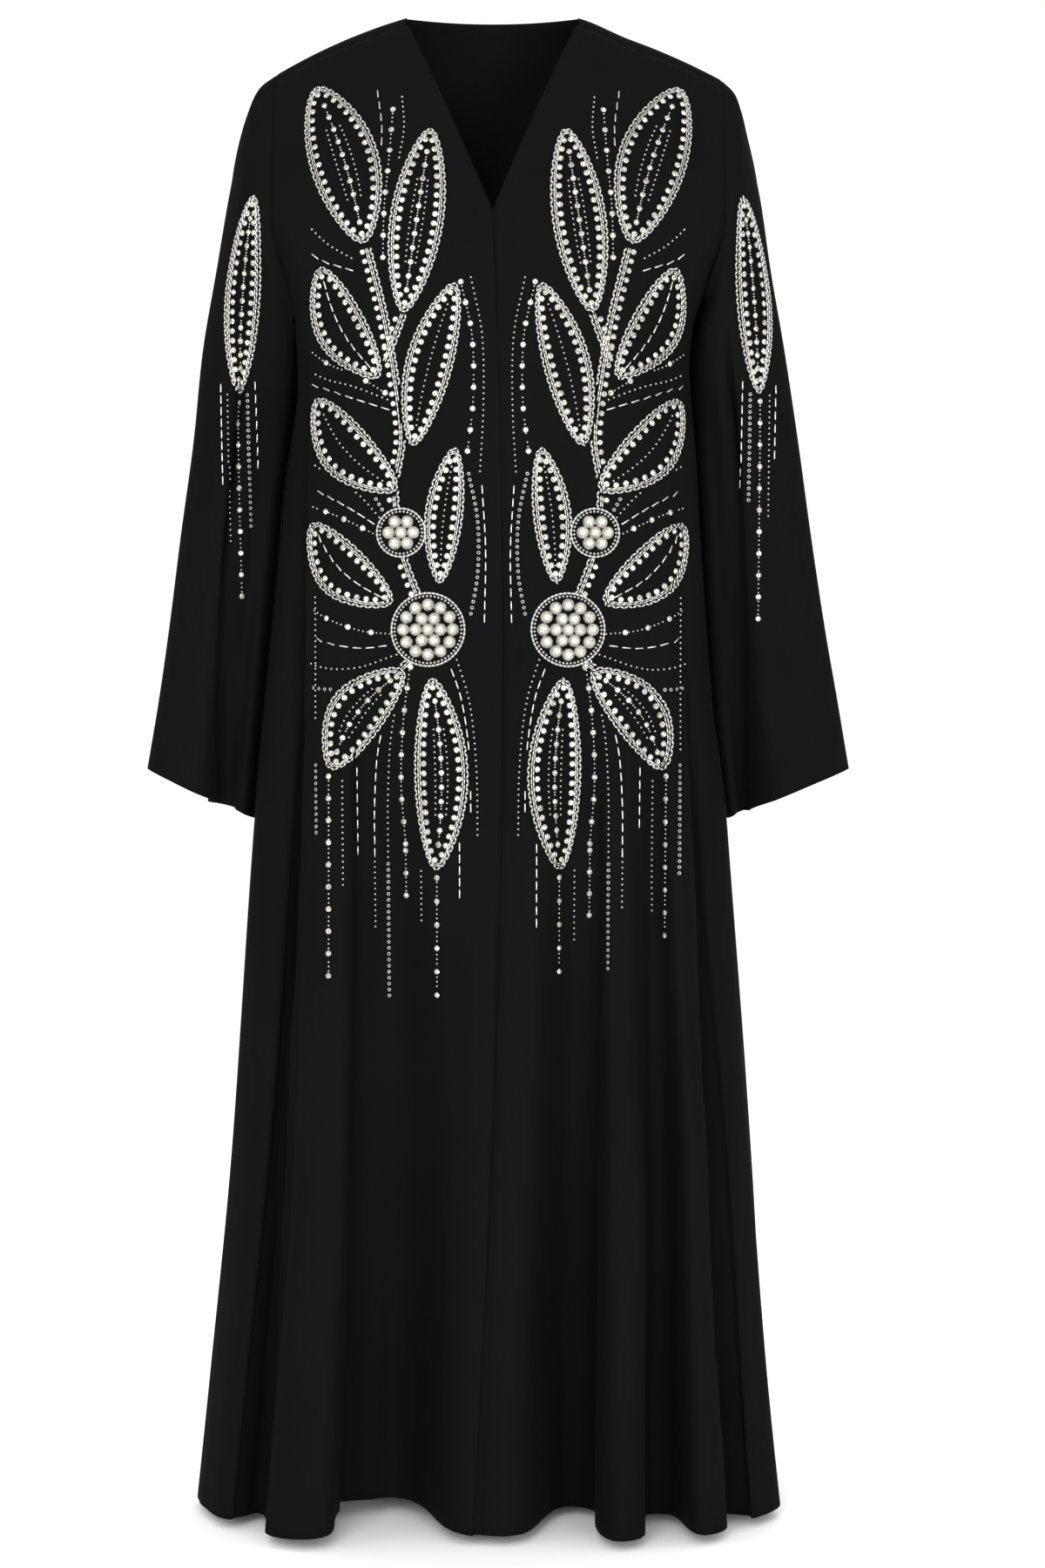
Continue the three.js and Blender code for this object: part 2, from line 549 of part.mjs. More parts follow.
const seamRow = ridgeRow + WRAP_ROWS;
const faceSide = (normal) => normal.setY(0);
const frontFace = (rows) => (normal, r, c) => {
  if (r === rows.length - 1) normal.copy(seamNormal(rows[r][c].x));
  else if (c === FRONT_COLUMNS && r < SKIRT_ROWS.length) faceSide(normal);
};
const backFace = (normal, r, c) => {
  if (r === seamRow) normal.copy(seamNormal(back[r][c].x));
  else if (c % BACK_COLUMNS === 0 && r < SKIRT_ROWS.length) faceSide(normal);
};
const panels = {
  front_lapping: clothOf(leftFront, { flip: true, face: frontFace(leftFront) }),
  front_under: clothOf(rightFront, { face: frontFace(rightFront) }),
  back: clothOf(back, { keep: backKeep, flip: true, face: backFace }),
};

// A sleeve starts from the panels' own armhole points, so that the seam closes all round.
function sleeveRows(side) {
  const armpit = SKIRT_ROWS.length - 1;
  const frontPanel = side < 0 ? leftFront : rightFront;
  const frontLoop = frontPanel.slice(armpit).map((row) => row[FRONT_COLUMNS]);
  const column = side < 0 ? 0 : BACK_COLUMNS;
  const backLoop = back.slice(armpit + 1).map((row) => row[column]).reverse();
  const loop = [...frontLoop, ...backLoop];
  const lengths = [0];
  loop.forEach((point, i) => lengths.push(lengths[i] + point.distanceTo(loop[(i + 1) % loop.length])));
  const total = lengths[loop.length];
  const tip = frontLoop.length; // about where the loop passes the shoulder tip
  const angles = loop.map((_, i) => {
    const before = lengths[i] / lengths[tip];
    const after = (lengths[i] - lengths[tip]) / (total - lengths[tip]);
    return radians(i <= tip ? 180 * before : 180 + 180 * after);
  });
  const ringPoint = (ring, index, angle) => {
    const section = sectionAt(ring.innerZ);
    const bodyX = section.width + side * section.shift + ring.clear;
    const inner = new THREE.Vector3(side * bodyX, ring.y, ring.innerZ);
    const outerEnd = new THREE.Vector3(side * ring.outerX - ring.sway, ring.y, ring.outerZ);
    const centre = inner.clone().add(outerEnd).multiplyScalar(0.5);
    const reach = outerEnd.clone().sub(centre);
    const power = 2 / 2.2;
    const cos = Math.cos(angle);
    const sin = Math.sin(angle);
    let out = 0;
    for (const fold of SLEEVE_FOLDS) {
      const middle = side < 0 ? fold.left : fold.right;
      const q = ((((angle * 180) / Math.PI - middle + 540) % 360) - 180) / fold.width;
      const growth = smooth((index - fold.start) / (SLEEVE_RINGS.length - 1 - fold.start));
      if (Math.abs(q) < 1) out += fold.depth * growth * 0.5 * (1 + Math.cos(Math.PI * q));
    }
    const along = -Math.sign(cos) * Math.abs(cos) ** power;
    const across = -Math.sign(sin) * Math.abs(sin) ** power;
    return centre
      .addScaledVector(reach, along)
      .add(new THREE.Vector3(0, across * (ring.depth + out), 0));
  };
  const first = loop.map((_, j) => ringPoint(SLEEVE_RINGS[0], 0, angles[j]));
  return SLEEVE_RINGS.map((ring, index) => {
    const hold = (1 - smooth((index - 1) / 4)) ** 1.2;
    return loop.map((point, j) => {
      const own = ringPoint(ring, index, angles[j]);
      const offset = point.clone().sub(first[j]).multiplyScalar(hold);
      const seam = index === 0 ? side * SEAM_GAP : 0;
      return own.add(offset).add(new THREE.Vector3(seam, 0, 0));
    });
  });
}

// Turns the panels' armhole edges and the sleeve's first ring the same way, so that the walls meet flat.
function mitreArmhole(side, sleeve) {
  const armpit = SKIRT_ROWS.length - 1;
  const front = side < 0 ? panels.front_lapping : panels.front_under;
  const column = side < 0 ? 0 : BACK_COLUMNS;
  const backRowNumbers = back.map((_, r) => r).slice(armpit + 1).reverse();
  const edge = [
    ...leftFront.slice(armpit).map((_, i) => front.at(armpit + i, FRONT_COLUMNS)),
    ...backRowNumbers.map((r) => panels.back.at(r, column)),
  ];
  edge.forEach((normal, j) => {
    normal.add(sleeve.at(0, j));
    if (j === 0) faceSide(normal);
    sleeve.at(0, j).copy(normal.normalize());
  });
  panels.back.at(armpit, column).copy(edge[0]);
}

for (const [name, side] of [["sleeve_left", -1], ["sleeve_right", 1]]) {
  panels[name] = clothOf(sleeveRows(side), { closed: true, flip: side > 0 });
  mitreArmhole(side, panels[name]);
}
for (const [name, panel] of Object.entries(panels)) addPart(name, wallOf(panel), CREPE);

// The cloth's surface where a line along Y meets a panel first, seen from the front.
function onPanel(panel, x, z) {
  let best = null;
  for (const quad of panel.quads) {
    for (const ids of [[quad[0], quad[1], quad[2]], [quad[0], quad[2], quad[3]]]) {
      const [a, b, c] = ids.map((i) => panel.outer[i]);
      if (Math.max(a.x, b.x, c.x) < x || Math.min(a.x, b.x, c.x) > x) continue;
      if (Math.max(a.z, b.z, c.z) < z || Math.min(a.z, b.z, c.z) > z) continue;
      const area = (b.x - a.x) * (c.z - a.z) - (c.x - a.x) * (b.z - a.z);
      if (Math.abs(area) < 1e-9) continue;
      const s = ((x - a.x) * (c.z - a.z) - (c.x - a.x) * (z - a.z)) / area;
      const t = ((b.x - a.x) * (z - a.z) - (x - a.x) * (b.z - a.z)) / area;
      if (s < -1e-6 || t < -1e-6 || s + t > 1 + 1e-6) continue;
      const y = a.y + (b.y - a.y) * s + (c.y - a.y) * t;
      if (best && best.point.y <= y) continue;
      const weights = [1 - s - t, s, t];
      const normal = new THREE.Vector3();
      ids.forEach((i, k) => normal.addScaledVector(panel.normals[i], weights[k]));
      best = { point: new THREE.Vector3(x, y, z), normal: normal.normalize() };
    }
  }
  if (!best) throw new Error(`no cloth at ${x}, ${z}`);
  return best;
}

// A leaf's outline in the front view, drawn in from its edge by the inset.
function leafOutline(leaf, side, inset) {
  const base = new THREE.Vector2(side * leaf.base[0], leaf.base[1]);
  const tip = new THREE.Vector2(side * leaf.tip[0], leaf.tip[1]);
  const axis = tip.clone().sub(base);
  const length = axis.length();
  axis.normalize();
  const across = new THREE.Vector2(-axis.y, axis.x).multiplyScalar(side);
  return Array.from({ length: LEAF_STEPS }, (_, i) => {
    const angle = (i / LEAF_STEPS) * 2 * Math.PI;
    const along = (1 - Math.cos(angle)) / 2;
    const wide = Math.sin(angle) * (1 - 0.28 * Math.cos(angle) ** 2) * (leaf.width / 2 - inset);
    const sway = leaf.bend * Math.sin(Math.PI * along);
    return base
      .clone()
      .addScaledVector(axis, mix(inset, length - inset, along))
      .addScaledVector(across, wide + sway);
  });
}

// A raised band round a leaf, made from the panel's own points moved out. inset is a share of its width.
const BAND_PROFILE = [
  { inset: 0, rise: 0 },
  { inset: 0.18, rise: 1 },
  { inset: 0.82, rise: 1 },
  { inset: 1, rise: 0 },
];
function bandOf(panel, leaf, side) {
  const outlines = BAND_PROFILE.map(({ inset }) => leafOutline(leaf, side, inset * BAND));
  const count = LEAF_STEPS;
  const rings = outlines[0].map((_, i) =>
    BAND_PROFILE.map(({ rise }, k) => ({ ...onPanel(panel, outlines[k][i].x, outlines[k][i].y), rise })),
  );
  const bulges = rings.map((ring, i) => {
    const next = rings[(i + 1) % count];
    return Math.max(bulgeUnder(panel, [ring[3], next[3], next[0]]), bulgeUnder(panel, [ring[3], next[0], ring[0]]));
  });
  const placed = rings.map((ring, i) => {
    const gap = BAND_GAP + Math.max(bulges[i], bulges[(i + count - 1) % count]);
    return ring.map(({ point, normal, rise }) => point.clone().addScaledVector(normal, gap + rise * BAND_RISE));
  });
  const triangles = [];
  for (let i = 0; i < count; i++) {
    const [a, b] = [placed[i], placed[(i + 1) % count]];
    for (let k = 0; k < 4; k++) {
      const m = (k + 1) % 4;
      triangles.push([a[k], b[k], b[m]], [a[k], b[m], a[m]]);
    }
  }
  return triangles;
}

// How far the cloth stands out past a flat face that lies on it.
const SPOTS = [0.1, 0.3, 0.5, 0.7, 0.9].flatMap((s) => [0.05, 0.35, 0.65, 0.95].map((t) => [s, t * (1 - s)]));
function bulgeUnder(panel, [a, b, c]) {
  const rises = [...SPOTS, [0.5, 0], [0, 0.5]].map(([s, t]) => {
    const spot = a.point.clone().multiplyScalar(1 - s - t);
    spot.addScaledVector(b.point, s).addScaledVector(c.point, t);
    const { point, normal } = onPanel(panel, spot.x, spot.z);
    return point.sub(spot).dot(normal);
  });
  return Math.max(0, ...rises);
}

function solidOf(geometry) {
  const merged = mergeVertices(geometry.deleteAttribute("normal"), 1e-3);
  const mesh = new wasm.Mesh({
    numProp: 3,
    vertProperties: merged.attributes.position.array,
    triVerts: new Uint32Array(merged.index.array),
  });
  return new wasm.Manifold(mesh);
}

// Turns triangles round where they face inwards.
function facingOut(triangles) {
  const volume = triangles.reduce((sum, [a, b, c]) => sum + a.dot(b.clone().cross(c)), 0);
  return geometryOf(volume > 0 ? triangles : triangles.map(([a, b, c]) => [a, c, b]));
}

for (const [name, side] of [["left", -1], ["right", 1]]) {
  const front = side < 0 ? panels.front_lapping : panels.front_under;
  for (const leaf of LEAVES) addPart(`beads_${leaf.name}_${name}`, facingOut(bandOf(front, leaf, side)), BEADS);
  const sleeve = panels[`sleeve_${name}`];
  addPart(`beads_sleeve_${name}`, facingOut(bandOf(sleeve, SLEEVE_LEAF, side)), BEADS);
}

// Places of the stones of a rosette: one in the middle and full rings of six, twelve and so on.
function stonePlaces(rings) {
  const places = [[0, 0]];
  for (let ring = 1; ring <= rings; ring++)
    for (let k = 0; k < 6 * ring; k++) {
      const angle = (k / (6 * ring)) * 2 * Math.PI;
      places.push([ring * STONE * Math.cos(angle), ring * STONE * Math.sin(angle)]);
    }
  return places;
}

// A rosette: a thin backing that follows the cloth, with cut stones standing on it.
function rosetteOf(panel, rosette, side) {
  const [x, z] = [side * rosette.at[0], rosette.at[1]];
  const radius = (rosette.rings + 0.5) * STONE;
  const backing = 1.2;
  const corners = 12;
  const spot = (share, k) => {
    const angle = (k / corners) * 2 * Math.PI;
    return onPanel(panel, x + share * radius * Math.cos(angle), z + share * radius * Math.sin(angle));
  };
  const rings = [0.5, 1].map((share) => Array.from({ length: corners }, (_, k) => spot(share, k)));
  const middle = spot(0, 0);
  const faces = rings[0].flatMap((a, k) => {
    const next = (k + 1) % corners;
    const [b, c, d] = [rings[0][next], rings[1][next], rings[1][k]];
    return [[middle, b, a], [a, c, d], [a, b, c]];
  });
  const gap = BAND_GAP + Math.max(...faces.map((face) => bulgeUnder(panel, face)));
  const level = (hit, rise) => hit.point.clone().addScaledVector(hit.normal, rise);
  const [low, high] = [gap, gap + backing];
  const triangles = faces.flatMap(([a, b, c]) => [
    [level(a, low), level(b, low), level(c, low)],
    [level(c, high), level(b, high), level(a, high)],
  ]);
  rings[1].forEach((d, k) => {
    const c = rings[1][(k + 1) % corners];
    triangles.push([level(d, high), level(d, low), level(c, low)], [level(d, high), level(c, low), level(c, high)]);
  });
  let solid = solidOf(facingOut(triangles));
  for (const [dx, dz] of stonePlaces(rosette.rings)) {
    const { point, normal } = onPanel(panel, x + dx, z + dz);
    const stone = new THREE.CylinderGeometry(STONE * 0.26, STONE * 0.46, STONE_RISE, 6);
    stone.deleteAttribute("uv");
    const turn = new THREE.Quaternion().setFromUnitVectors(new THREE.Vector3(0, 1, 0), normal);
    const centre = point.clone().addScaledVector(normal, gap + backing * 0.6 + STONE_RISE / 2);
    stone.applyMatrix4(new THREE.Matrix4().compose(centre, turn, new THREE.Vector3(1, 1, 1)));
    solid = solid.add(solidOf(stone));
  }
  const { vertProperties, triVerts, numProp } = solid.getMesh();
  const corner = (i) => new THREE.Vector3(...vertProperties.slice(i * numProp, i * numProp + 3));
  const made = [];
  for (let i = 0; i < triVerts.length; i += 3)
    made.push([corner(triVerts[i]), corner(triVerts[i + 1]), corner(triVerts[i + 2])]);
  return geometryOf(made);
}

for (const [name, side] of [["left", -1], ["right", 1]])
  for (const rosette of ROSETTES) {
    const front = side < 0 ? panels.front_lapping : panels.front_under;
    addPart(`stones_${rosette.name}_${name}`, rosetteOf(front, rosette, side), BEADS);
  }

export default group;
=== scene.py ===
"""An open-front abaya of black crepe with beaded leaf sprays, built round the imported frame.

Tables are in millimetres and degrees, and meshes in metres. +Z is up and the front faces -Y. Left and
right are the viewer's, seen from the front, and side is -1 for left and 1 for right.
"""

import functools
import itertools
import math

import bpy
import numpy as np
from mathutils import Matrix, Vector
from mathutils.bvhtree import BVHTree


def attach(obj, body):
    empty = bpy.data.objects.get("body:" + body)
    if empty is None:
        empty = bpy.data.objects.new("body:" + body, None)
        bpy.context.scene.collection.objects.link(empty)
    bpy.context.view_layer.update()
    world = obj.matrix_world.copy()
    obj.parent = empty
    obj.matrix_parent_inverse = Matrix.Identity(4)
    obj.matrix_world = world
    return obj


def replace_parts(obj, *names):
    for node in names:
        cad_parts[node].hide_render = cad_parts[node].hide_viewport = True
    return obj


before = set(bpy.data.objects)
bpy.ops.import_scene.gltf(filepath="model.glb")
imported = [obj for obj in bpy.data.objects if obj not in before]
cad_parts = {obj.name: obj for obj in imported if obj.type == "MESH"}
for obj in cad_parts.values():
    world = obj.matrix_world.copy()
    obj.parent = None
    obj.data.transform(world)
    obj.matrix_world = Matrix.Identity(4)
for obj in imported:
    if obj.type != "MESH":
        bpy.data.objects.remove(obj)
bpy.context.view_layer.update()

MM = 0.001
SIDES = {"left": -1, "right": 1}


def table(columns, *rows):
    """Rows of numbers or names as a list of dicts, keyed by the names of the columns."""
    return [dict(zip(columns.split(), row)) for row in rows]


# Camera

CAMERA_AT = (0.0217, -2.6, -0.7068)
FOCAL_PIXELS = 3230
PHOTO_HEIGHT = 1800
SENSOR = 36


def make_camera():
    data = bpy.data.cameras.new("camera")
    data.sensor_width = SENSOR
    data.lens = FOCAL_PIXELS / PHOTO_HEIGHT * SENSOR
    camera = bpy.data.objects.new("camera", data)
    camera.location = CAMERA_AT
    camera.rotation_euler = (math.radians(90), 0, 0)
    bpy.context.scene.collection.objects.link(camera)
    bpy.context.scene.camera = camera


make_camera()

# Driving sizes, as in the part's source, but that the panels overlap by a hair at their seams, so that no
# light shows between them, and that the sleeves hang closer to the body

SEAM_GAP = -0.3
HEM_Z = -1362
ARMPIT_Z = -284
V_BOTTOM_Z = -197
V_FROM = -270
LOW_OUTER_Z = -215
NECK_HALF = 79
NECK_X = -6
RIDGE_RUN = 134
RIDGE_SLOPE = 0.258
RIDGE_BEND = 0.00096
SEAM_TIP_SHARE = 0.72
SEAM_TIP_FROM = 120
SEAM_TIP_WIDTH = 85
SHOULDER_HALF = 205
SHOULDER_DROP = 5
SHOULDER_DROP_OVER = 50
NAPE_RISE = 15
NAPE_DEPTH = 74
NAPE_POWER = 1.1
OVERLAP = 28
LAP_STEP = 3.1
LAP_EASE = 18
LAP_LEVEL = 8
V_SLANT = 0.6
SEAM_FORWARD = 30
FORWARD_LIMIT = 120
YOKE_BLEND = 90
ARMHOLE_CURVE = 95
ARM_ROOM = 0.1
HEM_LIFT_AT = -104
HEM_LIFT_WIDTH = 92
HEM_LIFT_RISE = 7
HEM_LIFT_REACH = 82
FRONT_SLOPE = (230, 1.8)
BACK_SLOPE = (190, 1.7)

SECTIONS = table(
    "z width front back shift power",
    (-1362, 264, 105, 132, -14, 2.4),
    (-1250, 255, 104, 129, -11.5, 2.4),
    (-1050, 240, 104, 124, -7, 2.4),
    (-735, 217.5, 106, 114, -7.5, 2.5),
    (-480, 197, 108, 103, -5, 3),
    (-284, 185, 108, 98, -2, 3.8),
)
FRONT_EDGE = table("z x", (-1362, -19), (-1000, -3.6), (-700, 3.6), (-420, 2.5), (-197, -5))

# Folds from the viewer's left to right, crests and troughs. hem and top are places from the centre plane on
# the front, and shares round the half on the back.
FOLD_COLUMNS = "hem top width depth left right start bend"
FRONT_FOLDS = table(
    FOLD_COLUMNS,
    (-243, -176, 52, 30, 0, 0, -620, 1.2),
    (-214, -162, 26, -14, 0, 0, -420, 1.3),
    (-174, -140, 62, 72, 0.2, 0.18, -330, 1.5),
    (-97, -90, 62, -60, 0, 0.02, -620, 1.2),
    (-6, -6, 84, 46, 0.04, 0.04, -560, 1.3),
    (63, 70, 46, -56, 0, 0, -500, 1.25),
    (107, 112, 44, 68, 0.12, 0.19, -640, 1.1),
    (146, 138, 30, -18, 0, 0, -560, 1.2),
    (184, 158, 40, 66, 0.06, 0.19, -330, 1.5),
    (231, 174, 46, 40, 0, 0, -620, 1.2),
)
BACK_FOLDS = table(
    FOLD_COLUMNS,
    (-1.74, -1.72, 52, -42, 0, 0, -560, 1.2),
    (-1.52, -1.49, 56, 48, 0.14, 0.08, -380, 1.3),
    (-1.34, -1.32, 56, -38, 0, 0, -420, 1.3),
    (1.25, 1.24, 46, -34, 0, 0, -420, 1.3),
    (1.46, 1.43, 54, 52, 0.08, 0.14, -360, 1.3),
    (1.69, 1.7, 50, -44, 0, 0, -500, 1.2),
    (1.96, 1.97, 66, 44, 0.06, 0.1, -520, 1.3),
)
SLEEVE_RINGS = table(
    "outer_x outer_z inner_z clear depth y sway",
    (205, -53, -284, 0, 56, 0, 0),
    (221, -68, -287, 0.6, 58, 1, 2),
    (232, -101, -295, 0.8, 59, 3, 4),
    (245, -159, -313, 0.9, 58, 6, 4),
    (257, -232, -345, 1.0, 55, 10, 5),
    (270, -306, -395, 1.2, 51, 14, 5),
    (281, -390, -463, 1.3, 48, 17, 3),
    (293, -475, -538, 1.4, 46, 20, 3),
    (305, -560, -614, 1.6, 45, 22, 2),
    (316, -628, -678, 1.8, 45, 24, 1),
    (327, -692, -738, 2.0, 45, 26, 1),
)
SLEEVE_FOLDS = table(
    "left right width depth start",
    (62, 50, 30, -22, 3),
    (96, 84, 34, 8, 3),
    (292, 300, 36, -14, 4),
)

# Grid of the cloth

QUARTER_STEPS = 360
FRONT_COLUMNS = 144
BACK_COLUMNS = 168
NECK_COLUMNS = 48
SKIRT_HEIGHTS = np.linspace(HEM_Z, ARMPIT_Z, 130)
LOW_SHARES = np.linspace(0, 1, 13)[1:]
HIGH_SHARES = np.linspace(0, 1, 29)[1:]
WRAP_SHARES = np.linspace(0, 1, 7)[1:]
RINGS_A_STEP = 9
SLEEVE_POWER = 2 / 2.2
CLOTH_WALL = 0.9
HEM_TURN = 22
HEM_INSIDE = 2 * CLOTH_WALL + 0.15
HEM_FOLD_INSIDE = CLOTH_WALL + 0.07
HEM_FOLD_DROP = 0.5


def mix(a, b, t):
    return a + (b - a) * t


def smooth(t):
    t = np.clip(t, 0, 1)
    return t * t * (3 - 2 * t)


def bell(q):
    """1 in the middle, 0 from q = -1 and 1 outwards."""
    return np.where(np.abs(q) < 1, 0.5 * (1 + np.cos(math.pi * np.clip(q, -1, 1))), 0)


def unit(vectors):
    return vectors / np.maximum(np.linalg.norm(vectors, axis=-1, keepdims=True), 1e-9)


def track(rows, key, z, by="z"):
    """A smooth curve through a table's column."""
    at = np.array([row[by] for row in rows], float)
    value = np.array([row[key] for row in rows], float)
    i = np.clip(np.searchsorted(at, z, side="right") - 1, 0, len(at) - 2)
    before = np.maximum(i - 1, 0)
    after = np.minimum(i + 2, len(at) - 1)
    span = at[i + 1] - at[i]
    t = np.clip((z - at[i]) / span, 0, 1)
    slope_a = (value[i + 1] - value[before]) / (at[i + 1] - at[before]) * span
    slope_b = (value[after] - value[i]) / (at[after] - at[i]) * span
    near = (2 * t**3 - 3 * t**2 + 1) * value[i] + (t**3 - 2 * t**2 + t) * slope_a
    return near + (3 * t**2 - 2 * t**3) * value[i + 1] + (t**3 - t**2) * slope_b


@functools.cache
def quarter(z, is_front):
    """A quarter of a level section: across, deep, the length run to each point, and the shift."""
    power = 2 / track(SECTIONS, "power", z)
    angle = np.linspace(0, math.pi / 2, QUARTER_STEPS + 1)
    across = track(SECTIONS, "width", z) * np.sin(angle) ** power
    deep = track(SECTIONS, "front" if is_front else "back", z) * np.cos(angle).clip(0) ** power
    run = np.concatenate([[0], np.cumsum(np.hypot(np.diff(across), np.diff(deep)))])
    return across, deep, run, float(track(SECTIONS, "shift", z))


FRONT_LENGTH = quarter(HEM_Z, True)[2][-1]
BACK_LENGTH = quarter(HEM_Z, False)[2][-1]
HALF_ROUND = FRONT_LENGTH + BACK_LENGTH


def plain_skirt(places, z):
    """Points of a level section without folds, by their places: 0 in front, 1 at a side and 2 behind."""
    size = np.abs(places)
    x = np.zeros(size.shape)
    y = np.zeros(size.shape)
    for is_front in (True, False):
        across, deep, run, shift = quarter(z, is_front)
        pick = (size <= 1) == is_front
        wanted = np.clip(size[pick] if is_front else 2 - size[pick], 0, 1) * run[-1]
        x[pick] = np.interp(wanted, run, across)
        y[pick] = np.interp(wanted, run, deep) * (-1 if is_front else 1)
    return np.stack([shift + np.where(places < 0, -x, x), y, np.full(size.shape, float(z))], -1)


def round_at_x(x, z):
    """The place of a point of the front, from how far to the side it is."""
    across, _, run, shift = quarter(z, True)
    return np.sign(x - shift) * np.interp(abs(x - shift), across, run) / run[-1]


def along_hem(places):
    size = np.abs(places)
    run = np.where(size <= 1, size * FRONT_LENGTH, FRONT_LENGTH + (size - 1) * BACK_LENGTH)
    return np.sign(places) * run


def round_of(run):
    size = np.abs(run)
    places = np.where(size <= FRONT_LENGTH, size / FRONT_LENGTH, 1 + (size - FRONT_LENGTH) / BACK_LENGTH)
    return np.sign(run) * places


def placed(fold, is_front):
    """The fold with its hem and top as lengths along the hem."""
    ends = {"hem": HEM_Z, "top": ARMPIT_Z}
    places = {end: round_at_x(fold[end], z) if is_front else fold[end] for end, z in ends.items()}
    return {**fold, **{end: float(along_hem(place)) for end, place in places.items()}}


FOLDS = [placed(fold, True) for fold in FRONT_FOLDS] + [placed(fold, False) for fold in BACK_FOLDS]
FOLD_TOP_WIDTH = 0.72
FOLD_MARGIN = 12
SIDE_BLEND = 0.16


def place_of(fold, z):
    return mix(fold["top"], fold["hem"], (ARMPIT_Z - z) / (ARMPIT_Z - HEM_Z))


def column_places(shares, hem_ends, ends, z):
    """Places for a row of columns that run down the folds."""
    low, high = sorted(hem_ends)
    sign = 1 if hem_ends[1] > hem_ends[0] else -1
    inside = [fold for fold in FOLDS if low + FOLD_MARGIN < fold["hem"] < high - FOLD_MARGIN]
    inside.sort(key=lambda fold: fold["hem"] * sign)
    source = np.array([hem_ends[0], *[fold["hem"] for fold in inside], hem_ends[1]])
    target = [ends[0], *[place_of(fold, z) for fold in inside], ends[1]]
    return np.interp(mix(hem_ends[0], hem_ends[1], shares) * sign, source * sign, target)


def fold_shift(places, z):
    """How far the folds move the cloth outwards and along it."""
    at = along_hem(places)
    out = np.zeros(at.shape)
    along = np.zeros(at.shape)
    for fold in FOLDS:
        if z >= fold["start"]:
            continue
        fall = (fold["start"] - z) / (fold["start"] - HEM_Z)
        growth = fall ** fold["bend"]
        away = at - place_of(fold, z)
        away = np.where(away > HALF_ROUND, away - 2 * HALF_ROUND, away)
        away = np.where(away < -HALF_ROUND, away + 2 * HALF_ROUND, away)
        q = away / (fold["width"] * mix(FOLD_TOP_WIDTH, 1, fall))
        pinch = np.where(q < 0, fold["left"], fold["right"])
        out += fold["depth"] * growth * bell(q)
        along += np.where(np.abs(q) < 1, fold["width"] * pinch * growth * np.sin(2 * math.pi * q), 0)
    return out, along


def skirt_points(places, z):
    step = 0.02
    tangent = unit(plain_skirt(places + step, z) - plain_skirt(places - step, z))
    sideways = smooth(1 - np.abs(np.abs(places) - 1) / SIDE_BLEND)
    outwards = unit(np.stack([tangent[:, 1] * sideways, -tangent[:, 0], 0 * places], -1))
    out, along = fold_shift(places, z)
    points = plain_skirt(places, z) + outwards * out[:, None] + tangent * along[:, None]
    q = (along_hem(places) - along_hem(round_at_x(HEM_LIFT_AT, HEM_Z))) / HEM_LIFT_WIDTH
    points[:, 2] += HEM_LIFT_RISE * bell(q) * max(0, 1 - (z - HEM_Z) / HEM_LIFT_REACH)
    return points


def ridge_z(x):
    """The height of the shoulders' ridge."""
    side = np.sign(x - NECK_X)
    span = SHOULDER_HALF - side * NECK_X - NECK_HALF
    past = np.maximum(0, np.abs(x - NECK_X) - NECK_HALF) / span * RIDGE_RUN
    lower = np.where(x > 0, SHOULDER_DROP * smooth(past / SHOULDER_DROP_OVER), 0)
    return -RIDGE_SLOPE * past - RIDGE_BEND * past**2 - lower


def nape_share(x):
    """1 at the middle of the nape, falling to 0 at the neck points."""
    return np.maximum(0, 1 - ((x - NECK_X) / NECK_HALF) ** 2)


YOKE = {key: float(track(SECTIONS, key, ARMPIT_Z)) for key in ("width", "power", "front", "back", "shift")}


def armhole_x(z):
    rise = np.sin(np.clip((z - ARMPIT_Z) / ARMHOLE_CURVE, 0, 1) * math.pi / 2)
    return YOKE["width"] + (SHOULDER_HALF - YOKE["width"]) * rise


def yoke_depth(x, z, is_front):
    up = smooth((z - ARMPIT_Z) / YOKE_BLEND)
    full = YOKE["front" if is_front else "back"]
    across = np.clip(np.abs(x - YOKE["shift"] * (1 - up)) / (armhole_x(z) * (1 + ARM_ROOM * up)), 0, 1)
    wide = np.maximum(0, 1 - across ** YOKE["power"]) ** (1 / YOKE["power"])
    nape = 0 * x if is_front else nape_share(x)
    reach, power = FRONT_SLOPE if is_front else BACK_SLOPE
    power = mix(power, NAPE_POWER, nape)
    below = ridge_z(x) + nape * NAPE_RISE - z
    fall = (1 - (1 - np.clip(below / reach, 0, 1)) ** power) ** (1 / power)
    top = nape * NAPE_DEPTH
    return top + (full * wide - top) * fall


def yoke_points(x, z, is_front):
    depth = yoke_depth(x, z, is_front)
    return np.stack([x, -depth if is_front else depth, z], -1)


def seam_depth(x):
    """How far the shoulder seam lies in front of the ridge."""
    past = smooth((np.abs(x) - SEAM_TIP_FROM) / SEAM_TIP_WIDTH)
    return mix(SEAM_FORWARD, SEAM_FORWARD * SEAM_TIP_SHARE, past)


def forward_points(x, depth):
    """The front yoke's points at a given depth in front of the ridge."""
    low = np.zeros(x.shape)
    high = np.full(x.shape, float(FORWARD_LIMIT))
    for _ in range(40):
        middle = (low + high) / 2
        short = yoke_depth(x, ridge_z(x) - middle, True) < depth
        low = np.where(short, middle, low)
        high = np.where(short, high, middle)
    return yoke_points(x, ridge_z(x) - low, True)


EDGE_GATHER = 0.6
ROW_EASE = 0.9


def edge_shares(count):
    """Even shares from 0 to 1, closer together at both ends."""
    share = np.linspace(0, 1, count + 1)
    return share - EDGE_GATHER * np.sin(2 * math.pi * share) / (2 * math.pi)


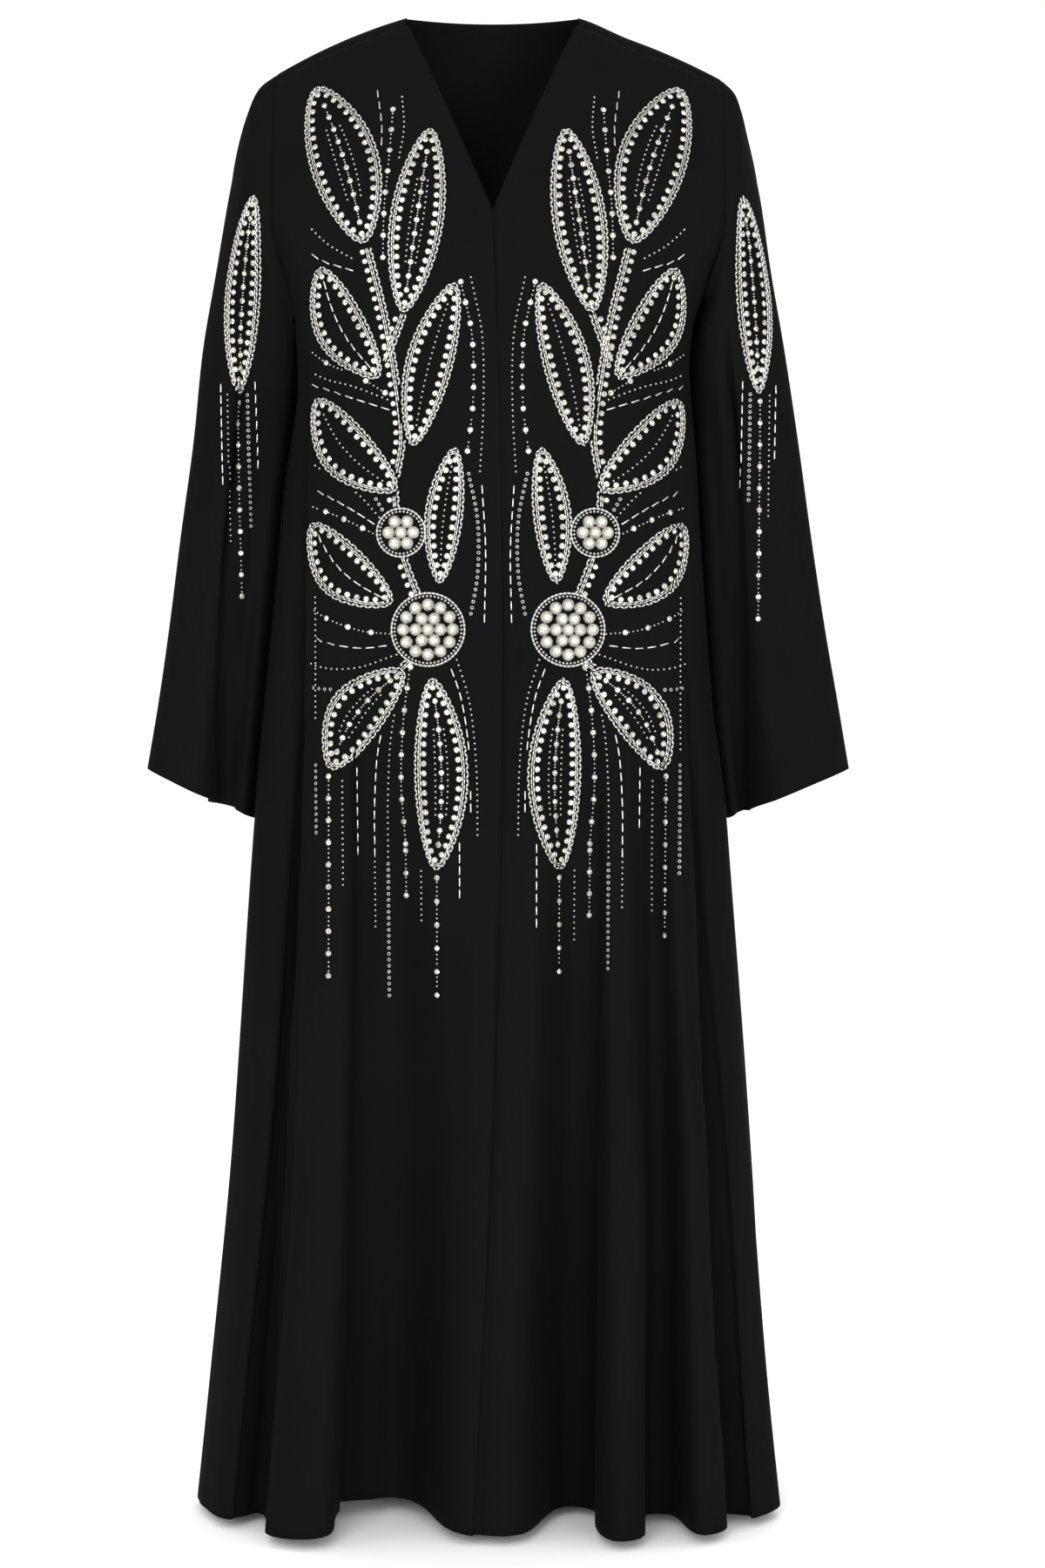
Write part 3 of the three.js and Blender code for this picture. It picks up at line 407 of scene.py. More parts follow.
def front_grid(side):
    """The outer points of a front: rows from the hem to the forward seam, columns from the front edge."""

    def inner_x(z):
        past = min(1, max(0, (z - V_FROM) / (V_BOTTOM_Z - V_FROM)))
        return float(track(FRONT_EDGE, "x", z)) - (0 if side < 0 else OVERLAP * (1 - past))

    def edge_at(z):
        return float(along_hem(round_at_x(inner_x(z), z)))

    shares = edge_shares(FRONT_COLUMNS)
    seam = side * (FRONT_LENGTH - SEAM_GAP / 2)
    rows = []
    for z in SKIRT_HEIGHTS:
        places = column_places(shares, (edge_at(HEM_Z), seam), (edge_at(z), seam), z)
        rows.append(skirt_points(round_of(places), z))
    armpit = rows[-1][:, 0]
    spread = (armpit - armpit[0]) / (armpit[-1] - armpit[0])
    for t in LOW_SHARES:
        inner_z = mix(ARMPIT_Z, V_BOTTOM_Z, t)
        outer_z = mix(ARMPIT_Z, LOW_OUTER_Z, t)
        edge = side * (armhole_x(outer_z) - SEAM_GAP / 2)
        rows.append(yoke_points(mix(inner_x(inner_z), edge, spread), mix(inner_z, outer_z, spread), True))
    neck_x = NECK_X + side * (NECK_HALF - 1.5)
    top_x = mix(neck_x, side * (SHOULDER_HALF - SEAM_GAP / 2), spread)
    top = forward_points(top_x, seam_depth(top_x) + SEAM_GAP)
    low_x = mix(inner_x(V_BOTTOM_Z), side * (armhole_x(LOW_OUTER_Z) - SEAM_GAP / 2), spread)
    low_z = mix(V_BOTTOM_Z, LOW_OUTER_Z, spread)
    for t in HIGH_SHARES:
        u = t**ROW_EASE
        rows.append(yoke_points(mix(low_x, top[:, 0], u), mix(low_z, top[:, 2], u), True))
    rows[-1] = top
    grid = np.array(rows)
    return lapped(grid) if side > 0 else grid


def lapped(grid):
    """The under front, moved inwards where the other front laps over it."""
    tangent = np.gradient(grid, axis=1)
    inwards = unit(np.stack([-tangent[..., 1], tangent[..., 0], 0 * tangent[..., 0]], -1))
    above = np.maximum(0, grid[..., 2] - V_BOTTOM_Z)
    edge = track(FRONT_EDGE, "x", np.minimum(grid[..., 2], V_BOTTOM_Z))
    past = grid[..., 0] - edge + V_SLANT * above
    return grid + inwards * (LAP_STEP * (1 - smooth((past - LAP_LEVEL) / LAP_EASE)))[..., None]


def back_grid():
    half = np.linspace(0, 1, BACK_COLUMNS // 2 + 1)
    seam = FRONT_LENGTH + SEAM_GAP / 2
    rows = []
    for z in SKIRT_HEIGHTS:
        halves = []
        for side in (-1, 1):
            ends = (side * HALF_ROUND, side * seam)
            halves.append(skirt_points(round_of(column_places(half, ends, ends, z)), z))
        rows.append(np.concatenate([halves[0][::-1], halves[1][1:]]))
    middle = BACK_COLUMNS // 2
    armpit = rows[-1][:, 0]
    spread = (armpit - armpit[middle]) / abs(armpit[-1] - armpit[middle])
    for t in LOW_SHARES:
        outer_z = mix(ARMPIT_Z, LOW_OUTER_Z, t)
        z = mix(mix(ARMPIT_Z, V_BOTTOM_Z, t), outer_z, np.abs(spread))
        rows.append(yoke_points(spread * (armhole_x(outer_z) - SEAM_GAP / 2), z, False))
    away = np.arange(BACK_COLUMNS + 1) - middle
    neck = NECK_COLUMNS / 2
    past = (np.abs(away) - neck) / (middle - neck)
    sign = np.sign(away)
    neck_x = NECK_X + sign * NECK_HALF * np.minimum(1, np.abs(away) / neck)
    top_x = mix(neck_x, sign * (SHOULDER_HALF - SEAM_GAP / 2), np.maximum(0, past))
    top_z = ridge_z(top_x) + nape_share(top_x) * NAPE_RISE
    low_x = spread * (armhole_x(LOW_OUTER_Z) - SEAM_GAP / 2)
    low_z = mix(V_BOTTOM_Z, LOW_OUTER_Z, np.abs(spread))
    for t in HIGH_SHARES:
        u = t**ROW_EASE
        x = mix(low_x, top_x, smooth(u) * 0.4 + u * 0.6)
        rows.append(yoke_points(x, mix(low_z, top_z, u), False))
    for t in WRAP_SHARES:
        rows.append(forward_points(top_x, seam_depth(top_x) * t))
    return np.array(rows)


ARMPIT_ROW = len(SKIRT_HEIGHTS) - 1
RIDGE_ROW = ARMPIT_ROW + len(LOW_SHARES) + len(HIGH_SHARES)
RELAXED_ROWS = 16
RELAXED_EDGE = 0.12
RELAXED_ROUNDS = 60


def relaxed(grid):
    """Takes the corner out of the cloth where the skirt meets the yoke, away from the side edges."""
    count = grid.shape[1]
    from_edge = np.minimum(np.arange(count), np.arange(count)[::-1]) / count
    height = np.abs(np.arange(len(grid)) - ARMPIT_ROW) / RELAXED_ROWS
    weight = (bell(height)[:, None] * smooth(from_edge / RELAXED_EDGE)[None, :])[1:-1, :, None]
    for _ in range(RELAXED_ROUNDS):
        grid[1:-1] += 0.5 * weight * ((grid[2:] + grid[:-2]) / 2 - grid[1:-1])
    return grid


def normals_of(grid, closed=False, flip=False):
    """Unit vectors that point out of the cloth at each point of a grid."""
    up = np.gradient(grid, axis=0)
    if closed:
        across = (np.roll(grid, -1, axis=1) - np.roll(grid, 1, axis=1)) / 2
    else:
        across = np.gradient(grid, axis=1)
    normal = unit(np.cross(across, up))
    return -normal if flip else normal


# Creases: soft troughs and ridges that the plain form lacks. lean turns the crease from upright, its top
# towards +X, and bow bends it.
CREASE_COLUMNS = "x z lean length width depth bow"
FRONT_CREASES = table(
    CREASE_COLUMNS,
    (-158, -330, 12, 240, 26, -2.6, 8),
    (-132, -420, 6, 300, 24, 1.8, 0),
    (-150, -560, 4, 360, 22, -2.2, -6),
    (-176, -262, 34, 110, 14, -2.0, 4),
    (-112, -700, 3, 420, 30, -2.4, 6),
    (-60, -820, 1, 380, 34, 2.0, 4),
    (-196, -900, 6, 420, 22, -2.2, 0),
    (150, -330, -10, 220, 24, -2.4, -6),
    (168, -270, -30, 110, 13, -1.8, 0),
    (120, -460, -5, 320, 26, 1.8, 6),
    (146, -600, -6, 360, 24, -2.4, 0),
    (92, -760, -2, 400, 30, -2.2, -6),
    (34, -880, 0, 420, 26, 2.2, 4),
    (176, -900, -5, 360, 20, -2.0, 0),
    (-190, -130, 8, 120, 12, -1.2, 0),
    (188, -138, -8, 130, 12, -1.2, 0),
    (130, -1110, 0, 600, 13, 3.5, 0),
)
BACK_CREASES = table(
    CREASE_COLUMNS,
    (-150, -320, 14, 240, 26, -2.8, 6),
    (-96, -470, 5, 320, 30, 2.0, 0),
    (-168, -262, 36, 110, 14, -2.2, 4),
    (-140, -640, 4, 380, 24, -2.4, -4),
    (-30, -560, 0, 420, 34, 1.8, 6),
    (40, -760, -1, 420, 30, -2.4, 0),
    (150, -330, -12, 230, 24, -2.6, -6),
    (160, -268, -34, 110, 14, -2.0, 0),
    (112, -500, -6, 340, 26, 2.2, 0),
    (170, -700, -5, 380, 22, -2.4, 6),
    (-8, -150, 0, 160, 60, -1.8, 0),
)

# Sharp fold lines down the fronts, through some x and z: steep on one side, fading over a width on the
# other. steep is -1 where the steep side is the left one. A line grows in depth from top to full.
FOLD_LINES = table(
    "steep fade top full depth x z",
    (
        *(1, 44, -286, -600, 29),
        (-213, -205, -197, -193, -186, -180, -174),
        (-1362, -1262, -1092, -977, -846, -691, -300),
    ),
    (-1, 30, -560, -900, 16, (-136, -127, -123, -124), (-1362, -1092, -846, -600)),
    (-1, 34, -420, -900, 4, (-17, -1.6, 5.6, 4.5), (-1362, -1000, -700, -420)),
    (1, 40, -600, -860, 8, (81, 84, 87, 88), (-1362, -1092, -846, -600)),
    (-1, 22, -560, -900, 5, (136, 136, 135), (-1362, -846, -600)),
    (-1, 37, -560, -760, 28, (209, 198, 189, 184, 178, 173), (-1362, -1210, -984, -846, -735, -610)),
)
STEEP_WIDTH = 5
FADING_POWER = 2.4


def line_dip(x, z):
    """How far the fold lines draw the front in at each point."""
    dip = np.zeros(x.shape)
    for line in FOLD_LINES:
        away = (x - np.interp(z, line["z"], line["x"])) * line["steep"]
        steep = 1 - smooth(away / STEEP_WIDTH)
        fading = np.clip(1 + away / line["fade"], 0, 1) ** FADING_POWER
        growth = smooth((line["top"] - z) / (line["top"] - line["full"]))
        dip += line["depth"] * growth * steep * fading
    return dip


# How far the body's sides draw in beside the sleeves, by height.
TUCKS = {
    -1: table("z in", (-450, 0), (-414, 1.6), (-348, 6.4), (-309, 6), (-250, 3.5), (-205, 0)),
    1: table("z in", (-735, 0), (-700, 2), (-640, 6), (-406, 7), (-318, 12), (-270, 8), (-205, 0)),
}
TUCK_FROM = 110
TUCK_WIDTH = 60


def tucked_in(grid):
    """The grid with its sides drawn in towards the middle beside the sleeves."""
    drawn = grid.copy()
    for side, rows in TUCKS.items():
        heights = [row["z"] for row in rows]
        inwards = np.interp(grid[..., 2], heights, [row["in"] for row in rows])
        drawn[..., 0] -= side * inwards * smooth((side * grid[..., 0] - TUCK_FROM) / TUCK_WIDTH)
    return drawn


def creased(grid, normals, creases):
    """Moves a panel's points in and out along its creases."""
    x = grid[..., 0]
    z = grid[..., 2]
    out = np.zeros(x.shape)
    for crease in creases:
        lean = math.radians(crease["lean"])
        dx = x - crease["x"]
        dz = z - crease["z"]
        share = 2 * (dx * math.sin(lean) + dz * math.cos(lean)) / crease["length"]
        across = dx * math.cos(lean) - dz * math.sin(lean) - crease["bow"] * bell(share)
        out += crease["depth"] * bell(share) * bell(across / crease["width"])
    return grid + normals * out[..., None]


SEAM_SINK = 0.5
SEAM_REACH = 3.2


def sunk_edge(grid, normals, distance):
    """Draws the cloth in along a seam, distance being how far each point is from it."""
    dip = SEAM_SINK * np.clip(1 - distance / SEAM_REACH, 0, 1) ** 2
    return grid - normals * dip[..., None]


def run_from(grid, axis, index):
    """How far each point is from the first or the last (0 or -1) row (axis 0) or column (axis 1)."""
    step = np.linalg.norm(np.diff(grid, axis=axis), axis=-1)
    if index:
        step = np.flip(step, axis)
    run = np.concatenate([0 * np.take(step, [0], axis), np.cumsum(step, axis)], axis)
    return np.flip(run, axis) if index else run


def hemmed(grid, normals):
    """The grid with its hem turned up inside, and the number of rows that are the turned part."""
    step = np.linalg.norm(grid[1] - grid[0], axis=-1).mean()
    count = max(2, round(HEM_TURN / step))
    inside = grid[: count + 1] - normals[: count + 1] * HEM_INSIDE
    fold = grid[0] - normals[0] * HEM_FOLD_INSIDE
    fold[:, 2] -= HEM_FOLD_DROP
    return np.concatenate([inside[::-1], fold[None], grid]), count + 2


def grid_faces(row_count, column_count, closed=False, flip=False, keep=None):
    columns = np.arange(column_count - (0 if closed else 1))
    r, c = np.meshgrid(np.arange(row_count - 1), columns, indexing="ij")
    if keep is not None:
        kept = keep(r, c)
        r, c = r[kept], c[kept]
    first = (r * column_count + c).ravel()
    second = (r * column_count + (c + 1) % column_count).ravel()
    quads = np.stack([first, second, second + column_count, first + column_count], -1)
    return quads[:, ::-1] if flip else quads


def add_mesh(name, points, faces, materials, smooth_shaded=True, material_index=None):
    mesh = bpy.data.meshes.new(name)
    mesh.from_pydata(np.asarray(points, float).tolist(), [], np.asarray(faces).tolist())
    mesh.polygons.foreach_set("use_smooth", np.full(len(mesh.polygons), smooth_shaded))
    for material in materials:
        mesh.materials.append(material)
    if material_index is not None:
        mesh.polygons.foreach_set("material_index", np.asarray(material_index, np.int32))
    mesh.update()
    made = bpy.data.objects.new(name, mesh)
    bpy.context.scene.collection.objects.link(made)
    return made


def used_only(points, faces):
    """Leaves out the points that no face uses."""
    used = np.unique(faces)
    number = np.full(len(points), -1)
    number[used] = np.arange(len(used))
    return points[used], number[faces]


# Materials


class Nodes:
    """A material's nodes, with short calls to make and join them."""

    def __init__(self, name):
        self.material = bpy.data.materials.new(name)
        self.material.use_nodes = True
        self.tree = self.material.node_tree
        self.shader = self.tree.nodes["Principled BSDF"]
        self.coordinates = self.add("ShaderNodeTexCoord", {}).outputs

    def fill(self, node, inputs):
        """Gives sockets a value, or joins them to another node's output."""
        for key, value in inputs.items():
            if isinstance(value, bpy.types.NodeSocket):
                self.tree.links.new(value, node.inputs[key])
            else:
                node.inputs[key].default_value = value

    def add(self, kind, inputs, **values):
        node = self.tree.nodes.new(kind)
        for key, value in values.items():
            setattr(node, key, value)
        self.fill(node, inputs)
        return node

    def noise(self, scale, detail, roughness, place=None):
        place = place or self.coordinates["Object"]
        inputs = {"Scale": scale, "Detail": detail, "Roughness": roughness, "Vector": place}
        return self.add("ShaderNodeTexNoise", inputs).outputs["Fac"]

    def stretched(self, scale):
        inputs = {"Scale": scale, "Vector": self.coordinates["Object"]}
        return self.add("ShaderNodeMapping", inputs).outputs["Vector"]

    def ramp(self, factor, *stops):
        node = self.add("ShaderNodeValToRGB", {"Fac": factor})
        for element, (position, colour) in zip(node.color_ramp.elements, stops):
            element.position = position
            element.color = (*colour, 1)
        return node.outputs["Color"]

    def span(self, factor, low, high):
        inputs = {"Value": factor, "To Min": low, "To Max": high}
        return self.add("ShaderNodeMapRange", inputs).outputs["Result"]

    def total(self, first, second, share):
        inputs = {0: second, 1: share, 2: first}
        return self.add("ShaderNodeMath", inputs, operation="MULTIPLY_ADD").outputs["Value"]

    def painted_facet_sparkle(self):
        """A factor that is nearly even over a flat facet and differs from one facet to the next, for
        painted reflections: some facets coloured lighter, some darker.
        """
        inputs = {0: self.coordinates["Object"], 1: (70, 70, 70), 2: self.coordinates["Normal"]}
        joined = self.add("ShaderNodeVectorMath", inputs, operation="MULTIPLY_ADD")
        return self.noise(4.5, 1, 0.5, joined.outputs["Vector"])

    def bump(self, height, strength, distance):
        inputs = {"Height": height, "Strength": strength, "Distance": distance}
        return self.add("ShaderNodeBump", inputs).outputs["Normal"]


def crepe_material():
    made = Nodes("crepe")
    cloud = made.noise(5.5, 4, 0.6)
    pebble = made.noise(1500, 2, 0.6)
    thread = made.noise(620, 2, 0.5, made.stretched((1, 1, 0.35)))
    finish = {
        "Base Color": made.ramp(cloud, (0.3, (0.0036, 0.00362, 0.0039)), (0.7, (0.0045, 0.00452, 0.0048))),
        "Roughness": made.span(cloud, 0.66, 0.76),
        "IOR": 1.035,
        "Sheen Weight": 0.006,
        "Sheen Roughness": 0.5,
        "Sheen Tint": (0.68, 0.68, 0.72, 1),
        "Normal": made.bump(made.total(pebble, thread, 0.7), 0.22, 0.0004),
    }
    made.fill(made.shader, finish)
    return made.material


def bead_material(name, dark, light, rough, metallic, coat):
    """A finish with painted reflections: its colour goes lighter and darker from facet to facet and from
    bead to bead, as sparkle would.
    """
    made = Nodes(name)
    facet_sparkle = made.painted_facet_sparkle()
    finish = {
        "Base Color": made.ramp(facet_sparkle, (0.34, dark), (0.64, light)),
        "Roughness": made.span(facet_sparkle, *rough),
        "Metallic": metallic,
        "Coat Weight": coat,
        "Coat Roughness": 0.04,
    }
    made.fill(made.shader, finish)
    return made.material


CREPE = crepe_material()
# The dark and light colours of each bead finish are painted reflections, for its darker and lighter facets.
SILVER = bead_material("silver", (0.34, 0.335, 0.31), (0.62, 0.61, 0.58), (0.2, 0.34), 0.8, 0)
CRYSTAL = bead_material("crystal", (0.2, 0.19, 0.165), (0.66, 0.64, 0.58), (0.05, 0.2), 0.5, 0.5)
CUT_STONE = bead_material("cut_stone", (0.19, 0.18, 0.15), (0.43, 0.41, 0.35), (0.18, 0.34), 0.15, 0.15)
GLASS = bead_material("seed_glass", (0.17, 0.168, 0.16), (0.5, 0.495, 0.47), (0.1, 0.26), 0.4, 0.4)

# Cloth


def panel(node, grid, flip, closed=False, keep=None):
    faces = grid_faces(grid.shape[0], grid.shape[1], closed, flip, keep)
    points, faces = used_only(grid.reshape(-1, 3), faces)
    made = add_mesh(node + "_cloth", points * MM, faces, [CREPE])
    wall = made.modifiers.new("wall", "SOLIDIFY")
    wall.thickness = CLOTH_WALL * MM
    wall.offset = -1
    wall.use_quality_normals = True
    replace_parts(made, node)
    return made


LINE_END = 9


def finished_front(side):
    """A front's outer points and normals. The fold lines end beside the side seam."""
    grid = tucked_in(relaxed(front_grid(side)))
    flip = side < 0
    normals = normals_of(grid, flip=flip)
    near_seam = smooth(run_from(grid, 1, -1) / LINE_END)
    dip = line_dip(grid[..., 0], grid[..., 2]) * near_seam
    grid = creased(grid - normals * dip[..., None], normals, FRONT_CREASES)
    return grid, normals_of(grid, flip=flip)


def finished_back():
    grid = tucked_in(relaxed(back_grid()))
    grid = creased(grid, normals_of(grid, flip=True), BACK_CREASES)
    return grid, normals_of(grid, flip=True)


fronts = {side: finished_front(side) for side in (-1, 1)}
back, back_normals = finished_back()


def body_edge(side, z):
    """How far out the body reaches on one side, folds and creases with it."""
    front_reach = (side * fronts[side][0][: ARMPIT_ROW + 1, :, 0]).max(axis=1)
    back_reach = (side * back[: ARMPIT_ROW + 1, :, 0]).max(axis=1)
    return np.interp(z, SKIRT_HEIGHTS, np.maximum(front_reach, back_reach))


def doubled(loop):
    """A closed row of points with one more between each two."""
    between = (loop + np.roll(loop, -1, axis=0)) / 2
    return np.stack([loop, between], 1).reshape(-1, 3)


def sleeve_rings(side, degrees):
    """The sleeve's own form: a call that gives the ring at any place down the sleeve, whole or between."""
    numbered = [{**ring, "index": i} for i, ring in enumerate(SLEEVE_RINGS)]
    last = len(SLEEVE_RINGS) - 1
    cos = np.cos(np.radians(degrees))
    sin = np.sin(np.radians(degrees))
    along = -np.sign(cos) * np.abs(cos) ** SLEEVE_POWER
    across = -np.sign(sin) * np.abs(sin) ** SLEEVE_POWER

    def ring_at(index):
        ring = {key: float(track(numbered, key, index, "index")) for key in SLEEVE_RINGS[0]}
        z = ring["inner_z"]
        inner = np.array([side * (body_edge(side, z) + ring["clear"]), ring["y"], z])
        outer = np.array([side * ring["outer_x"] - ring["sway"], ring["y"], ring["outer_z"]])
        centre = (inner + outer) / 2
        out = np.zeros(degrees.shape)
        for fold in SLEEVE_FOLDS:
            q = turn_between(degrees, fold["left" if side < 0 else "right"]) / fold["width"]
            out += fold["depth"] * smooth((index - fold["start"]) / (last - fold["start"])) * bell(q)
        points = centre + np.outer(along, outer - centre)
        points[:, 1] += across * (ring["depth"] + out)
        return points

    return ring_at


def turn_between(degrees, middle):
    """The angle from a middle, from -180 to 180."""
    return (degrees - middle + 540) % 360 - 180


def sleeve_grid(side):
    """The sleeve's points, the angle of each column and the place of each row. It starts in the armhole."""
    front_loop = fronts[side][0][ARMPIT_ROW:, -1]
    back_loop = back[ARMPIT_ROW + 1 :, 0 if side < 0 else -1][::-1]
    loop = doubled(np.concatenate([front_loop, back_loop]))
    steps = np.linalg.norm(np.roll(loop, -1, axis=0) - loop, axis=-1)
    run = np.concatenate([[0], np.cumsum(steps)])
    tip = 2 * len(front_loop)
    degrees = np.interp(run[:-1], [0, run[tip], run[-1]], [0, 180, 360])
    ring_at = sleeve_rings(side, degrees)
    first = ring_at(0)
    last = len(SLEEVE_RINGS) - 1
    indices = np.linspace(0, last, last * RINGS_A_STEP + 1)
    holds = (1 - smooth((indices - 1) / 4)) ** 1.2
    grid = np.array([ring_at(index) + (loop - first) * hold for index, hold in zip(indices, holds)])
    grid[0, :, 0] += side * SEAM_GAP
    return grid, degrees, indices


# Creases of a sleeve: degrees round it, its ring, how far they run down and round, and the twist.
SLEEVE_CREASES = table(
    "at ring down round depth twist",
    (40, 1.6, 2.6, 26, -2.4, 14),
    (118, 2.6, 3.4, 30, 2.0, -10),
    (84, 4.6, 2.8, 24, -1.8, 22),
    (150, 4.2, 4.6, 28, -2.0, -8),
    (30, 5.4, 3.0, 24, 2.2, 10),
    (128, 7.6, 3.8, 24, 2.2, 8),
    (104, 6.6, 2.2, 16, -1.6, 26),
    (225, 3.4, 4.2, 30, -2.4, 8),
    (262, 5.6, 3.6, 26, 2.0, -12),
    (205, 7.4, 3.8, 24, -2.0, 8),
    (330, 2.4, 3.0, 28, -2.6, -12),
)

# The sharp fold down each sleeve: where it starts and ends round the sleeve, and from which ring it grows.
SLEEVE_FOLD = {-1: (97, 70, 4.2), 1: (84, 50, 3.6)}
FOLD_DROP = 28
FOLD_FADE = 22
FOLD_ROLL = 2.2


def sleeve_fold(side, degrees, indices):
    """A steep step: the cloth inside the line lies deeper, and rises again towards the body."""
    start, end, ring = SLEEVE_FOLD[side]
    share = np.clip((indices - ring) / (len(SLEEVE_RINGS) - 1 - ring), 0, 1)
    away = degrees[None, :] - mix(start, end, share**2)[:, None]
    step = smooth(-away / 4) * np.clip(1 + away / FOLD_FADE, 0, 1) ** 1.7
    roll = FOLD_ROLL * bell((away - 12) / 16)
    return (roll - FOLD_DROP * step) * smooth(share / 0.3)[:, None]


def finished_sleeve(side):
    grid, degrees, indices = sleeve_grid(side)
    flip = side > 0
    normals = normals_of(grid, closed=True, flip=flip)
    out = sleeve_fold(side, degrees, indices)
    for crease in SLEEVE_CREASES:
        down = (indices - crease["ring"]) / (crease["down"] / 2)
        middle = (crease["at"] + crease["twist"] * np.clip(down, -1, 1))[:, None]
        away = turn_between(degrees[None, :], middle) / crease["round"]
        out += crease["depth"] * bell(down)[:, None] * bell(away)
    grid = grid + normals * out[..., None]
    return grid, normals_of(grid, closed=True, flip=flip)


sleeves = {side: finished_sleeve(side) for side in (-1, 1)}


IN_FRONT = -400


class Surface:
    """The outer face of a piece of cloth, found by a line that comes from the front."""

    def __init__(self, grid, flip, closed=False):
        faces = grid_faces(grid.shape[0], grid.shape[1], closed, flip)
        points = [Vector(point) for point in grid.reshape(-1, 3)]
        self.tree = BVHTree.FromPolygons(points, faces.tolist())

    def at(self, x, z):
        hit, normal, _, _ = self.tree.ray_cast(Vector((x, IN_FRONT, z)), Vector((0, 1, 0)))
        if hit is None:
            return None
        return np.array(hit), np.array(-normal if normal.y > 0 else normal)


surfaces = {}
cloth_pieces = {}


def make_front(side):
    name = "front_lapping" if side < 0 else "front_under"
    grid, normals = fronts[side]
    surfaces[name] = Surface(grid, side < 0)
    seam = np.minimum(run_from(grid, 1, -1), run_from(grid, 0, -1))
    grid = sunk_edge(grid, normals, seam)
    turned, _ = hemmed(grid, normals)
    cloth_pieces[name] = panel(name, turned, side < 0)


def make_back():
    seam = np.minimum(run_from(back, 1, -1), run_from(back, 1, 0))
    seam = np.minimum(seam, run_from(back, 0, -1))
    grid = sunk_edge(back, back_normals, seam)
    turned, extra = hemmed(grid, back_normals)
    middle = BACK_COLUMNS // 2
    neck_from = middle - NECK_COLUMNS // 2
    neck_to = middle + NECK_COLUMNS // 2

    def keep(r, c):
        return (r < RIDGE_ROW + extra) | (c < neck_from) | (c >= neck_to)

    cloth_pieces["back"] = panel("back", turned, True, keep=keep)


def make_sleeve(side):
    name = "sleeve_left" if side < 0 else "sleeve_right"
    grid, normals = sleeves[side]
    surfaces[name] = Surface(grid, side > 0, closed=True)
    grid = sunk_edge(grid, normals, run_from(grid, 0, 0))
    turned, _ = hemmed(grid[::-1], normals[::-1])
    cloth_pieces[name] = panel(name, turned, side < 0, closed=True)


for side in (-1, 1):
    make_front(side)
    make_sleeve(side)
make_back()

# Beads: each kind is one small closed mesh, copied to its places and joined.


def ball(levels):
    """A ball of radius 1 from an icosahedron, whose faces are the threes of neighbouring corners."""
    golden = (1 + math.sqrt(5)) / 2
    pairs = ((-1, golden), (1, golden), (-1, -golden), (1, -golden))
    corners = [(a, b, 0) for a, b in pairs] + [(0, a, b) for a, b in pairs] + [(b, 0, a) for a, b in pairs]
    points = np.array(corners) / math.hypot(1, golden)
    faces = []
    for i, j, k in itertools.combinations(range(len(points)), 3):
        if min(points[i] @ points[j], points[j] @ points[k], points[k] @ points[i]) > 0:
            facing_out = np.linalg.det(points[[i, j, k]]) > 0
            faces.append((i, j, k) if facing_out else (i, k, j))
    for _ in range(levels):
        points, faces = split_faces(points, faces)
    return points, np.array(faces)


def split_faces(points, faces):
    """Splits each triangle of a ball in four."""
    points = list(points)
    middles = {}

    def middle(a, b):
        key = (min(a, b), max(a, b))
        if key not in middles:
            points.append(unit(points[a] + points[b]))
            middles[key] = len(points) - 1
        return middles[key]

    made = []
    for a, b, c in faces:
        ab, bc, ca = middle(a, b), middle(b, c), middle(c, a)
        made += [(a, ab, ca), (b, bc, ab), (c, ca, bc), (ab, bc, ca)]
    return np.array(points), np.array(made)


def net_faces(rings, sides, closed=False):
    """The triangles of a net of rings that close round. closed joins the last ring to the first."""
    faces = []
    for ring in range(rings if closed else rings - 1):
        for k in range(sides):
            a = ring * sides + k
            b = ring * sides + (k + 1) % sides
            c = (b + sides) % (rings * sides)
            d = (a + sides) % (rings * sides)
            faces += [(a, b, c), (a, c, d)]
    return np.array(faces)


def turned_form(profile, sides, phases=None):
    """A closed form turned round +Z from (radius, height) rings, ending in points at both ends."""
    points = []
    for (radius, height), phase in zip(profile, phases or [0] * len(profile)):
        for k in range(sides):
            angle = 2 * math.pi * (k + phase) / sides
            points.append((radius * math.cos(angle), radius * math.sin(angle), height))
    points += [(0, 0, profile[0][1]), (0, 0, profile[-1][1])]
    bottom, top = len(points) - 2, len(points) - 1
    last = bottom - sides
    lids = [(bottom, (k + 1) % sides, k) for k in range(sides)]
    lids += [(top, last + k, last + (k + 1) % sides) for k in range(sides)]
    return np.array(points, float), np.concatenate([lids, net_faces(len(profile), sides)])


def lying(form):
    """The form turned so that its +Z axis runs along +X."""
    points, faces = form
    return points[:, [2, 0, 1]], faces


def ring_form(around=10, through=4, thickness=0.28):
    """A thin ring that lies flat."""
    points = []
    for i in range(around):
        a = 2 * math.pi * i / around
        for j in range(through):
            b = 2 * math.pi * j / through
            radius = 1 - thickness + thickness * math.cos(b)
            points.append((radius * math.cos(a), radius * math.sin(a), thickness * 0.8 * math.sin(b)))
    return np.array(points), net_faces(around, through, closed=True)[:, ::-1]


RHINESTONE = turned_form([(0.82, -0.45), (1.0, -0.05), (0.98, 0.12), (0.56, 0.52)], 10)
CUT_PROFILE = [(0.86, -0.5), (1.0, -0.1), (0.99, 0.05), (0.8, 0.34), (0.48, 0.52)]
CUT_PHASES = [0, 0, 0, 0.5, 0]
BUGLE = lying(turned_form([(0.8, -1), (1, -0.94), (1, 0.94), (0.8, 1)], 6))

